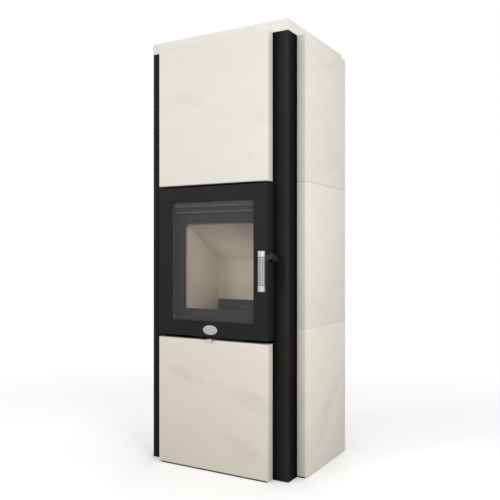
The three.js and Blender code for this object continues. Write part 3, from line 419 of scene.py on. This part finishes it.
def firebrick():
    """Pressed firebrick: warm beige with small flakes and a breath of soot."""
    finish = Finish("firebrick")
    finish.set(IOR=1.45, Specular_IOR_Level=0.3)
    flakes = finish.spread(finish.noise(220, 4, 0.7), 0.4, 0.65)
    soot = finish.spread(finish.noise(9, 4, 0.6), 0.3, 0.75)
    ground = finish.blend(soot, (0.66, 0.583, 0.455), (0.60, 0.53, 0.412))
    finish.colour(finish.blend(finish.multiply(flakes, 0.3), ground, (0.80, 0.72, 0.57)))
    finish.rough(finish.spread(flakes, 0, 1, 0.82, 0.95))
    return finish.bump(finish.noise(240, 5, 0.7), 0.4, 0.0008)


def storage_concrete():
    """Cast refractory concrete of the heat store."""
    finish = Finish("storage_concrete")
    grit = finish.spread(finish.noise(130, 6, 0.75), 0.4, 0.65)
    finish.colour(finish.blend(grit, (0.30, 0.275, 0.245), (0.40, 0.37, 0.33)))
    finish.rough(finish.spread(grit, 0, 1, 0.8, 0.95))
    return finish.bump(finish.noise(150, 6, 0.75), 0.5, 0.001)


def rope_weave():
    """Braided glass-fibre rope of the door seal."""
    finish = Finish("rope_weave")
    finish.set(Sheen_Weight=0.3)
    braid = finish.add("ShaderNodeTexWave", wave_type="BANDS", bands_direction="DIAGONAL")
    finish.link(finish.place, braid.inputs["Vector"])
    braid.inputs["Scale"].default_value = 130
    braid.inputs["Distortion"].default_value = 1.5
    strands = braid.outputs["Fac"]
    finish.colour(finish.blend(strands, (0.022, 0.022, 0.02), (0.075, 0.072, 0.066)))
    finish.rough(finish.spread(strands, 0, 1, 0.85, 0.95))
    return finish.bump(strands, 0.5, 0.0008)


def brushed_stainless(name, tone, grain):
    """Stainless steel with a fine satin brush; grain is a scratch's size along each axis."""
    finish = Finish(name)
    finish.set(Metallic=1.0)
    lines = finish.noise(1, 4, 0.6, vector=finish.turned(size=grain))
    darker, paler = (tuple(part * share for part in tone) for share in (0.92, 1.06))
    finish.colour(finish.blend(finish.spread(lines, 0.25, 0.75), darker, paler))
    finish.rough(finish.spread(lines, 0.25, 0.75, 0.5, 0.62))
    return finish.bump(lines, 0.08, 0.0002)


def zinc_plate():
    """Dull zinc-plated steel of pins and screws."""
    finish = Finish("zinc_plate")
    finish.set(Metallic=1.0)
    bloom = finish.spread(finish.noise(120, 5, 0.7), *UNEVEN)
    finish.colour(finish.blend(bloom, (0.36, 0.365, 0.37), (0.48, 0.485, 0.48)))
    finish.rough(finish.spread(bloom, 0, 1, 0.35, 0.5))
    return finish.bump(bloom, 0.1, 0.0002)


def cast_aluminium():
    """Bead-blasted aluminium of the bare oval plate, with a paler rim: the rim is a painted
    highlight and the recessed field is painted shade.
    """
    finish = Finish("cast_aluminium")
    finish.set(Metallic=0.85)
    speckle = finish.spread(finish.noise(420, 4, 0.65), 0.35, 0.65)
    from_centre = finish.turned(
        (OVAL_CENTRE_X, DOOR_LOW.y, OVAL_CENTRE_Z), size=(OVAL_WIDTH, 1, OVAL_HEIGHT),
    )
    # painted light: the rim is painted paler than the recessed field, as highlight and shade
    rim = finish.spread(finish.length(from_centre), 0.42, 0.45, soft=True)
    field = finish.blend(speckle, (0.27, 0.27, 0.27), (0.39, 0.39, 0.385))
    finish.colour(finish.blend(rim, field, (0.47, 0.47, 0.465)))
    finish.rough(finish.spread(speckle, 0, 1, 0.42, 0.55))
    return finish.bump(speckle, 0.15, 0.0003)


def fire_glass():
    """Clear fire glass with a thin veil of haze."""
    finish = Finish("fire_glass")
    finish.set(Alpha=0.14, IOR=1.5, Coat_Weight=0.35, Coat_Roughness=0.02)
    haze = finish.spread(finish.noise(5, 4, 0.6), *UNEVEN)
    finish.colour(finish.blend(haze, (0.13, 0.13, 0.128), (0.16, 0.159, 0.156)))
    finish.rough(finish.spread(haze, 0, 1, 0.03, 0.06))
    return finish.material


# ------------------------------------------------------------------ dressing the CAD nodes


def dress(material, *nodes):
    for name in nodes:
        mesh = frame["nodes"][name].data
        mesh.materials.clear()
        mesh.materials.append(material)


def dress_metals():
    dress(
        black_powder_coat(),
        "base_plate", "side_panel_left", "side_panel_right", "lower_front_panel",
        "upper_front_panel", "rear_casing", "upper_tile_ledge", "hinge_lug_upper",
        "hinge_lug_lower",
    )
    dress(painted_light_post_coat(), "corner_post_left", "corner_post_right")
    dress(cast_door_paint(), "door_frame")
    dress(frame_paint(), "firebox_frame")
    dress(painted_light_strip_paint(), "air_wash_strip")
    dress(lever_paint(), "handle_lever", "latch_shaft")
    dress(firebox_iron(), "grate_bed", "grate")
    dress(
        stove_steel(),
        "firebox_floor", "firebox_roof", "firebox_wall_left", "firebox_wall_right",
        "firebox_wall_rear", "ash_pan", "firebox_stand", "slide_guide", "storage_shelf",
        "door_back_frame",
    )
    slide_steel = brushed_stainless("slide_stainless", (0.47, 0.46, 0.42), (0.08, 0.0011, 0.0011))
    dress(slide_steel, "air_slide")
    dress(
        zinc_plate(),
        "levelling_screw_front_left", "levelling_screw_front_right",
        "levelling_screw_rear_left", "levelling_screw_rear_right",
        "hinge_pin_upper", "hinge_pin_lower", "latch_keeper",
    )


def dress_firebox():
    dress(firebrick(), "lining_left", "lining_right", "lining_rear", "baffle")
    dress(storage_concrete(), "storage_block_lower", "storage_block_upper")
    dress(fire_glass(), "door_glass")


# ------------------------------------------------------------------ ways to make a piece


def placed(name, shape, material):
    """Turns a bmesh into an object of one material."""
    mesh = bpy.data.meshes.new(name)
    shape.to_mesh(mesh)
    shape.free()
    mesh.materials.append(material)
    item = bpy.data.objects.new(name, mesh)
    bpy.context.scene.collection.objects.link(item)
    return item


def finished_piece(name, shape, material, body, smooth_angle=SMOOTH_ANGLE):
    """Turns a bmesh into a piece that rides on a body."""
    piece = placed(name, shape, material)
    piece.data.shade_smooth()
    piece.data.set_sharp_from_angle(angle=math.radians(smooth_angle))
    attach(piece, body)
    return piece


def stand_for(node, name, shape, material, smooth_angle=SMOOTH_ANGLE):
    """The same, in place of a CAD node."""
    piece = finished_piece(name, shape, material, BODY_OF[node], smooth_angle)
    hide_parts(node)


def rounded(shape, edges, radius, segments):
    bmesh.ops.bevel(
        shape, geom=edges, offset=radius, offset_type="OFFSET", segments=segments, profile=0.5,
        affect="EDGES", clamp_overlap=True, material=-1,
    )


def sharp_edges(shape, angle):
    limit = math.radians(angle)
    return [edge for edge in shape.edges if edge.is_manifold and edge.calc_face_angle() > limit]


def points_in(items):
    return [item for item in items if isinstance(item, bmesh.types.BMVert)]


def edges_in(items):
    return [item for item in items if isinstance(item, bmesh.types.BMEdge)]


def cuboid(low, high):
    shape = bmesh.new()
    bmesh.ops.create_cube(shape, size=1)
    bmesh.ops.scale(shape, vec=high - low, verts=shape.verts)
    bmesh.ops.translate(shape, vec=(low + high) / 2, verts=shape.verts)
    return shape


def welded(shape, distance=SAME_PLACE):
    bmesh.ops.remove_doubles(shape, verts=shape.verts, dist=distance)
    bmesh.ops.recalc_face_normals(shape, faces=shape.faces)


def spun(profile, place, sides):
    """Spins a profile of (radius, height) pairs about an upright axis through a place."""
    shape = bmesh.new()
    points = [shape.verts.new((radius, 0, height)) for radius, height in profile]
    edges = [shape.edges.new(pair) for pair in zip(points, points[1:])]
    bmesh.ops.spin(
        shape, geom=points + edges, cent=(0, 0, 0), axis=(0, 0, 1), angle=2 * math.pi,
        steps=sides, use_merge=True,
    )
    welded(shape)
    bmesh.ops.translate(shape, vec=place, verts=shape.verts)
    return shape


def run_and_bend(tube, edges, run, centre, axis, angle, steps):
    """Extrudes a tube's open end along a run and round a bend, and gives its new end's edges."""
    made = bmesh.ops.extrude_edge_only(tube, edges=edges)["geom"]
    ends = points_in(made)
    bmesh.ops.translate(tube, vec=run, verts=ends)
    ring = [edge for edge in edges_in(made) if all(point in ends for point in edge.verts)]
    turn = bmesh.ops.spin(
        tube, geom=ends + ring, cent=centre, axis=axis, angle=angle, steps=steps, use_merge=False,
    )
    return edges_in(turn["geom_last"])


def walled(tube, centre, across, thickness):
    """Turns an open tube's faces away from its centre line and gives it a wall on the inside.

    across holds a 1 for each axis along which the centre line doesn't run.
    """
    face = next(iter(tube.faces))
    outward = (face.calc_center_median() - Vector(centre)) * Vector(across)
    if face.normal.dot(outward) < 0:
        bmesh.ops.reverse_faces(tube, faces=tube.faces)
    bmesh.ops.solidify(tube, geom=tube.faces[:], thickness=thickness)


# ------------------------------------------------------------------ ceramic slabs

FRONT = -0.2945              # planes on which veins lie: front tiles, side slabs, cover
SIDE = 0.3293
TOP = 1.6


def on_front(x, z, slope, along, across, strength):
    """A vein's place on a front tile: slope in degrees down to the right, and its reach."""
    return (x, FRONT, z), (0, slope, 0), (along, 1, across), strength


def on_side(x, y, z, slope, along, across, strength):
    """The same on a side slab; the slope runs up to the rear."""
    return (x, y, z), (slope, 0, 0), (1, along, across), strength


# pattern offset, grain's turn, tone, warmth, strength of the grain, veins
CERAMICS = {
    "upper_tile": ((0.3, 1.1, 0.2), (0, -14, 0), 0.975, 0, 0.4, [
        on_front(-0.1, 1.36, 20, 0.1, 0.035, 0.2),
        on_front(0.2, 1.265, 30, 0.08, 0.035, 0.14),
        on_front(0.165, 1.126, 0, 0.03, 0.022, 0.17),
        on_front(0.05, 1.3, 20, 0.12, 0.03, 0.05),
    ]),
    "lower_tile": ((2.1, 0.4, 1.7), (0, 20, 0), 1.0, 0.7, 0.7, [
        on_front(-0.11, 0.34, 20, 0.12, 0.03, 0.34),
        on_front(0.04, 0.3, 20, 0.16, 0.035, 0.15),
        on_front(0.19, 0.268, 24, 0.12, 0.045, 0.29),
        on_front(0.14, 0.11, 24, 0.13, 0.035, 0.23),
        on_front(-0.12, 0.13, 12, 0.14, 0.03, 0.11),
    ]),
    "top_plate": ((4.2, 0.3, 3.1), (0, 8, 0), 0.99, 0, 0.8, [
        ((-0.1, 0.05, TOP), (0, 0, 24), (0.22, 0.04, 1), 0.2),
        ((0.16, -0.1, TOP), (0, 0, 30), (0.16, 0.03, 1), 0.17),
    ]),
    "side_slab_right_upper": ((1.7, 2.6, 0.9), (14, 0, 0), 1.01, 0.1, 0.8, [
        on_side(SIDE, 0.08, 1.2, -52, 0.13, 0.06, 0.18),
        on_side(SIDE, 0.17, 1.12, -50, 0.08, 0.04, 0.14),
        on_side(SIDE, 0.06, 1.5, 8, 0.14, 0.02, 0.1),
    ]),
    "side_slab_right_middle": ((3.4, 1.2, 2.3), (-14, 0, 0), 1.025, 0.15, 0.8, [
        on_side(SIDE, 0.1, 0.98, 24, 0.12, 0.03, 0.14),
        on_side(SIDE, 0.12, 0.66, 28, 0.14, 0.03, 0.1),
    ]),
    "side_slab_right_lower": ((5.3, 0.8, 4.6), (32, 0, 0), 1.05, 0.5, 0.8, [
        on_side(SIDE, 0.09, 0.24, 34, 0.16, 0.04, 0.2),
        on_side(SIDE, 0.0, 0.13, 30, 0.14, 0.04, 0.18),
        on_side(SIDE, 0.16, 0.1, 26, 0.12, 0.04, 0.15),
    ]),
    "side_slab_left_upper": ((2.8, 3.9, 1.4), (-16, 0, 0), 1.01, 0.1, 0.8, [
        on_side(-SIDE, -0.05, 1.3, -24, 0.18, 0.04, 0.2),
        on_side(-SIDE, 0.14, 1.12, -20, 0.12, 0.03, 0.16),
    ]),
    "side_slab_left_middle": ((0.9, 4.4, 3.8), (14, 0, 0), 1.025, 0.15, 0.8, [
        on_side(-SIDE, 0.08, 0.84, -28, 0.16, 0.03, 0.18),
    ]),
    "side_slab_left_lower": ((4.7, 2.2, 0.6), (-20, 0, 0), 1.04, 0.5, 0.8, [
        on_side(-SIDE, 0.05, 0.3, 20, 0.16, 0.04, 0.19),
        on_side(-SIDE, -0.04, 0.12, 16, 0.14, 0.03, 0.15),
    ]),
}


def ceramic_slabs():
    """The cover plate, side slabs and front tiles, with softened arrises."""
    for node, pattern in CERAMICS.items():
        low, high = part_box(node)
        slab = cuboid(low, high)
        if node.endswith("_tile"):
            front = [
                edge for edge in slab.edges
                if all(point.co.y < low.y + SAME_PLACE for point in edge.verts)
            ]
            rounded(slab, front, TILE_ROUND, segments=6)
            rounded(slab, sharp_edges(slab, 60), TILE_ARRIS, segments=2)
        else:
            rounded(slab, list(slab.edges), SLAB_ARRIS, segments=3)
        stand_for(node, f"{node}_slab", slab, cream_ceramic(node, *pattern))


# ------------------------------------------------------------------ perforated grip


def grip_axis():
    return (SLEEVE_LOW.x + SLEEVE_HIGH.x) / 2, (SLEEVE_LOW.y + SLEEVE_HIGH.y) / 2


def perforated_sleeve(steel):
    """A sheet with rows of round holes, rolled into a tube."""
    radius = (SLEEVE_HIGH.x - SLEEVE_LOW.x) / 2
    length = SLEEVE_HIGH.z - SLEEVE_LOW.z
    cell = Vector((2 * math.pi / GRIP_COLUMNS * radius, length / GRIP_ROWS))
    corner = Vector((-cell.x * GRIP_COLUMNS / 2, -length / 2))
    hole_squares = (cell / 2) * (GRIP_SQUARES - 2) / GRIP_SQUARES
    sheet = bmesh.new()
    bmesh.ops.create_grid(
        sheet, x_segments=GRIP_COLUMNS * GRIP_SQUARES, y_segments=GRIP_ROWS * GRIP_SQUARES,
        size=0.5,
    )
    bmesh.ops.scale(sheet, vec=(cell.x * GRIP_COLUMNS, length, 1), verts=sheet.verts)

    def from_hole(point):
        """Where a point lies from the middle of its cell."""
        in_cell = ((point.x - corner.x) % cell.x, (point.y - corner.y) % cell.y)
        return Vector(in_cell) - cell / 2

    def over_hole(point, slack=0.0):
        away = from_hole(point)
        return all(abs(part) < reach + slack for part, reach in zip(away, hole_squares))

    inside = [face for face in sheet.faces if over_hole(face.calc_center_median())]
    bmesh.ops.delete(sheet, geom=inside, context="FACES")
    for point in sheet.verts:
        if over_hole(point.co, SAME_PLACE):
            away = from_hole(point.co)
            rim = away.normalized() * GRIP_HOLE / 2
            point.co.x += rim.x - away.x
            point.co.y += rim.y - away.y

    axis_x, axis_y = grip_axis()
    middle = (SLEEVE_LOW.z + SLEEVE_HIGH.z) / 2
    for point in sheet.verts:
        angle = point.co.x / radius + math.radians(GRIP_COLUMN_AT)
        outwards = (radius * math.cos(angle), radius * math.sin(angle))
        point.co = (axis_x + outwards[0], axis_y + outwards[1], middle + point.co.y)
    welded(sheet, SEAM)
    walled(sheet, (axis_x, axis_y, 0), (1, 1, 0), GRIP_WALL)
    stand_for("grip_sleeve", "perforated_sleeve", sheet, steel, 40)


def sleeve_shade_liner():
    """Dark tube just inside the sleeve: painted shade that makes the holes read dark."""
    outer = (SLEEVE_HIGH.x - SLEEVE_LOW.x) / 2 - GRIP_WALL - LINER_GAP
    inner = outer - LINER_WALL
    length = SLEEVE_HIGH.z - SLEEVE_LOW.z
    profile = [(outer, 0), (outer, length), (inner, length), (inner, 0), (outer, 0)]
    tube = spun(profile, (*grip_axis(), SLEEVE_LOW.z), LINER_SIDES)
    finished_piece("sleeve_shade_liner", tube, black_powder_coat(), "lever")


def grip_caps(steel):
    """Turned caps at both ends of the grip."""
    radius = (SLEEVE_HIGH.x - SLEEVE_LOW.x) / 2 + CAP_PROUD
    quarter = [math.pi / 2 * step / CAP_ARRIS_STEPS for step in range(CAP_ARRIS_STEPS + 1)]
    for node, upwards in (("grip_cap_upper", True), ("grip_cap_lower", False)):
        low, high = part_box(node)
        length = high.z - low.z
        arris = [
            (
                radius - CAP_ARRIS * (1 - math.sin(angle)),
                length - CAP_ARRIS * (1 - math.cos(angle)),
            )
            for angle in quarter
        ]
        profile = [
            (0, length), *arris, (radius, CAP_INNER_ARRIS), (radius - CAP_INNER_ARRIS, 0),
            (CAP_BORE, 0), (CAP_BORE, length - CAP_END), (0, length - CAP_END),
        ]
        if not upwards:
            profile = [(out, length - up) for out, up in profile]
        cap = spun(profile, (*grip_axis(), low.z), CAP_SIDES)
        stand_for(node, f"{node}_turned", cap, steel, 40)


# ------------------------------------------------------------------ pipes, seal and small parts


def bent_pipe(node, bend, upwards):
    """Round pipe in a node's place: an upright leg, a quarter bend, and a leg to the rear."""
    low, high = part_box(node)
    radius = (high.x - low.x) / 2
    middle = low.y + radius
    start, level = (low.z, high.z - radius) if upwards else (high.z, low.z + radius)
    towards = 1 if upwards else -1
    bend_start = level - towards * bend
    pipe = bmesh.new()
    bmesh.ops.create_circle(pipe, segments=PIPE_SIDES, radius=radius)
    bmesh.ops.translate(pipe, vec=(0, middle, start), verts=pipe.verts)
    bent = run_and_bend(
        pipe, list(pipe.edges), (0, 0, bend_start - start), (0, middle + bend, bend_start),
        (-1, 0, 0), towards * math.pi / 2, PIPE_BEND_STEPS,
    )
    tail = points_in(bmesh.ops.extrude_edge_only(pipe, edges=bent)["geom"])
    bmesh.ops.translate(pipe, vec=(0, high.y - tail[0].co.y, 0), verts=tail)
    welded(pipe)
    walled(pipe, (0, 0, 0), (1, 0, 0), PIPE_WALL)
    return pipe


def pipes():
    """Smooth smoke outlet and combustion air inlet."""
    coat = black_powder_coat()
    stand_for("flue_elbow", "smoke_elbow", bent_pipe("flue_elbow", FLUE_BEND, True), coat)
    stand_for("air_inlet_pipe", "air_elbow", bent_pipe("air_inlet_pipe", AIR_BEND, False), coat)


def rope_seal():
    """Round rope laid in a ring with rounded corners."""
    middle = (SEAL_LOW.y + SEAL_HIGH.y) / 2
    left, right = SEAL_LOW.x + ROPE_WIDTH / 2, SEAL_HIGH.x - ROPE_WIDTH / 2
    low, high = SEAL_LOW.z + ROPE_WIDTH / 2, SEAL_HIGH.z - ROPE_WIDTH / 2
    rope = bmesh.new()
    bmesh.ops.create_circle(rope, segments=ROPE_SIDES, radius=0.5)
    stand = Matrix.Rotation(math.pi / 2, 4, "Y") @ Matrix.Rotation(math.pi / 2, 4, "Z")
    bmesh.ops.transform(rope, matrix=stand, verts=rope.verts)
    bmesh.ops.scale(rope, vec=(1, SEAL_HIGH.y - SEAL_LOW.y, ROPE_WIDTH), verts=rope.verts)
    bmesh.ops.translate(rope, vec=(left + ROPE_CORNER, middle, low), verts=rope.verts)
    across = right - left - 2 * ROPE_CORNER
    upwards = high - low - 2 * ROPE_CORNER
    edges = list(rope.edges)
    for run, x, z in (
        ((across, 0, 0), right - ROPE_CORNER, low + ROPE_CORNER),
        ((0, 0, upwards), right - ROPE_CORNER, high - ROPE_CORNER),
        ((-across, 0, 0), left + ROPE_CORNER, high - ROPE_CORNER),
        ((0, 0, -upwards), left + ROPE_CORNER, low + ROPE_CORNER),
    ):
        edges = run_and_bend(
            rope, edges, run, (x, middle, z), (0, -1, 0), math.pi / 2, ROPE_CORNER_STEPS,
        )
    welded(rope, SEAM)
    stand_for("door_seal", "rope_seal", rope, rope_weave(), 60)


def casing_screws():
    """Pan-head screws along both edges of the rear casing."""
    zinc = zinc_plate()
    socket_floor = SCREW_HEIGHT - SCREW_SOCKET_DEPTH
    profile = [
        (0, socket_floor), (SCREW_SOCKET, socket_floor), (SCREW_SOCKET, SCREW_HEIGHT),
        *((SCREW_RADIUS * out, SCREW_HEIGHT * up) for out, up in SCREW_DOME), (0, 0),
    ]
    lay = Matrix.Rotation(-math.pi / 2, 4, "X")
    pitch = (CASE_HIGH.z - CASE_LOW.z - 2 * SCREW_INSET) / (SCREW_COUNT - 1)
    for side, x in (("left", CASE_LOW.x + SCREW_INSET), ("right", CASE_HIGH.x - SCREW_INSET)):
        for row in range(SCREW_COUNT):
            screw = spun(profile, (0, 0, 0), SCREW_SIDES)
            height = CASE_LOW.z + SCREW_INSET + row * pitch
            place = Matrix.Translation((x, CASE_HIGH.y, height))
            bmesh.ops.transform(screw, matrix=place @ lay, verts=screw.verts)
            name = f"casing_screw_{side}_{row + 1}"
            finished_piece(name, screw, zinc, "stove_body")


def oval_plate():
    """Bare oval plate with a low rim round a flat field, on the door's bottom rail."""
    plate = bmesh.new()
    bmesh.ops.create_circle(plate, cap_ends=True, segments=OVAL_SIDES, radius=0.5)
    bmesh.ops.scale(plate, vec=(OVAL_WIDTH, OVAL_HEIGHT, 1), verts=plate.verts)
    face = next(iter(plate.faces))
    if face.normal.z < 0:
        face.normal_flip()
    wall = bmesh.ops.extrude_face_region(plate, geom=[face])
    field = next(item for item in wall["geom"] if isinstance(item, bmesh.types.BMFace))
    bmesh.ops.translate(plate, vec=(0, 0, OVAL_DEPTH), verts=field.verts)
    rounded(plate, list(field.edges), OVAL_ARRIS, segments=3)
    field = max(plate.faces, key=lambda each: each.calc_center_median().z + each.calc_area())
    bmesh.ops.inset_individual(plate, faces=[field], thickness=OVAL_RIM, depth=0)
    bmesh.ops.inset_individual(plate, faces=[field], thickness=OVAL_STEP, depth=-OVAL_STEP)
    stand = Matrix.Rotation(math.pi / 2, 4, "X")
    place = Matrix.Translation((OVAL_CENTRE_X, DOOR_LOW.y, OVAL_CENTRE_Z))
    bmesh.ops.transform(plate, matrix=place @ stand, verts=plate.verts)
    finished_piece("oval_plate", plate, cast_aluminium(), "door")


# ------------------------------------------------------------------ stage, light and camera


def camera_and_gloss(tree):
    """1 for what the camera sees, also in gloss or through glass, and 0 for light on the stove."""
    rays = tree.nodes.new("ShaderNodeLightPath")
    seen = rays.outputs["Is Camera Ray"]
    for other in ("Is Glossy Ray", "Is Transmission Ray"):
        either = tree.nodes.new("ShaderNodeMath")
        either.operation = "MAXIMUM"
        tree.links.new(seen, either.inputs[0])
        tree.links.new(rays.outputs[other], either.inputs[1])
        seen = either.outputs["Value"]
    return seen


def pale_floor():
    """White floor: it takes the stove's shadow near the stove and fades into the white room."""
    finish = Finish("floor_paint")
    finish.set(Roughness=0.9, Specular_IOR_Level=0.0, Emission_Color=(1, 1, 1, 1))
    away = finish.length(finish.place)
    tone = finish.spread(away, FLOOR_NEAR, FLOOR_FAR, FLOOR_TONE, 0, soft=True)
    seen = camera_and_gloss(finish.tree)
    shade = finish.multiply(tone, finish.spread(seen, 0, 1, FLOOR_BOUNCE, 1))
    finish.colour(finish.blend(shade, (0, 0, 0), (1, 1, 1)))
    rest = finish.spread(tone, 0, 1, 1, 1 - FLOOR_LIGHT)
    glow = finish.multiply(rest, finish.spread(seen, 0, 1, AMBIENT, 1))
    finish.link(glow, finish.shader.inputs["Emission Strength"])
    ground = bmesh.new()
    bmesh.ops.create_grid(ground, x_segments=1, y_segments=1, size=FLOOR_HALF)
    placed("floor", ground, finish.material)


def white_room():
    """White surroundings for the camera, gloss and glass; a lower level lights the stove."""
    world = bpy.data.worlds.new("white_room")
    bpy.context.scene.world = world
    world.use_nodes = True
    tree = world.node_tree
    tree.nodes.clear()
    output = tree.nodes.new("ShaderNodeOutputWorld")
    level = tree.nodes.new("ShaderNodeMapRange")
    level.inputs["To Min"].default_value = AMBIENT
    level.inputs["To Max"].default_value = 1.0
    tree.links.new(camera_and_gloss(tree), level.inputs["Value"])
    backdrop = tree.nodes.new("ShaderNodeBackground")
    backdrop.inputs["Color"].default_value = (1, 1, 1, 1)
    tree.links.new(level.outputs["Result"], backdrop.inputs["Strength"])
    tree.links.new(backdrop.outputs["Background"], output.inputs["Surface"])


def soft_light(name, place, aim, size, power, spread=180, in_gloss=True):
    """An area lamp that the camera doesn't see; spread in degrees, power in watts."""
    lamp = bpy.data.lights.new(name, "AREA")
    lamp.shape = "RECTANGLE"
    lamp.size, lamp.size_y = size
    lamp.spread = math.radians(spread)
    lamp.energy = power
    holder = bpy.data.objects.new(name, lamp)
    holder.location = place
    holder.rotation_euler = (Vector(aim) - Vector(place)).to_track_quat("-Z", "Y").to_euler()
    holder.visible_camera = False
    holder.visible_glossy = in_gloss
    holder.visible_transmission = in_gloss
    bpy.context.scene.collection.objects.link(holder)


def studio_lights():
    """Soft lamps round the stove, and a small one for the light that the firebox gets."""
    soft_light("key_light", (-2.45, -2.3, 1.85), aim=(0, -0.2, 1.1), size=(0.8, 2.0), power=20)
    soft_light("strip_light", (-0.84, -2.5, 1.4), aim=(0, -0.2, 1.2), size=(0.3, 2.4), power=13)
    soft_light("fill_light", (2.2, -1.5, 1.2), aim=(0.2, 0, 0.9), size=(1.4, 1.4), power=40)
    soft_light(
        "top_light", (0, 0.4, 4.2), aim=(0, 0.1, 1), size=(1.4, 1.0), power=26, in_gloss=False,
    )
    soft_light("rear_light", (-1.0, 3.0, 1.9), aim=(0, 0, 0.9), size=(1.6, 1.6), power=20)
    soft_light(
        "firebox_light", (0, -0.19, 0.6), aim=(-0.03, 0.12, 0.84), size=(0.08, 0.08),
        power=0.088, spread=110, in_gloss=False,
    )


def photo_camera():
    camera = bpy.data.cameras.new("photo_camera")
    camera.sensor_width = SENSOR
    camera.lens = FOCAL_PIXELS / PICTURE * SENSOR
    camera.shift_y = (HORIZON_ROW - PICTURE / 2) / PICTURE
    holder = bpy.data.objects.new("photo_camera", camera)
    holder.location = CAMERA_PLACE
    holder.rotation_euler = (math.pi / 2, 0, math.radians(CAMERA_TURN))
    bpy.context.scene.collection.objects.link(holder)
    bpy.context.scene.camera = holder


photo_camera()
white_room()
pale_floor()
studio_lights()
bpy.context.scene.view_settings.view_transform = "Standard"

dress_metals()
dress_firebox()
ceramic_slabs()
satin_steel = brushed_stainless("satin_stainless", (0.42, 0.42, 0.415), (0.0011, 0.0011, 0.08))
perforated_sleeve(satin_steel)
sleeve_shade_liner()
grip_caps(satin_steel)
pipes()
rope_seal()
casing_screws()
oval_plate()
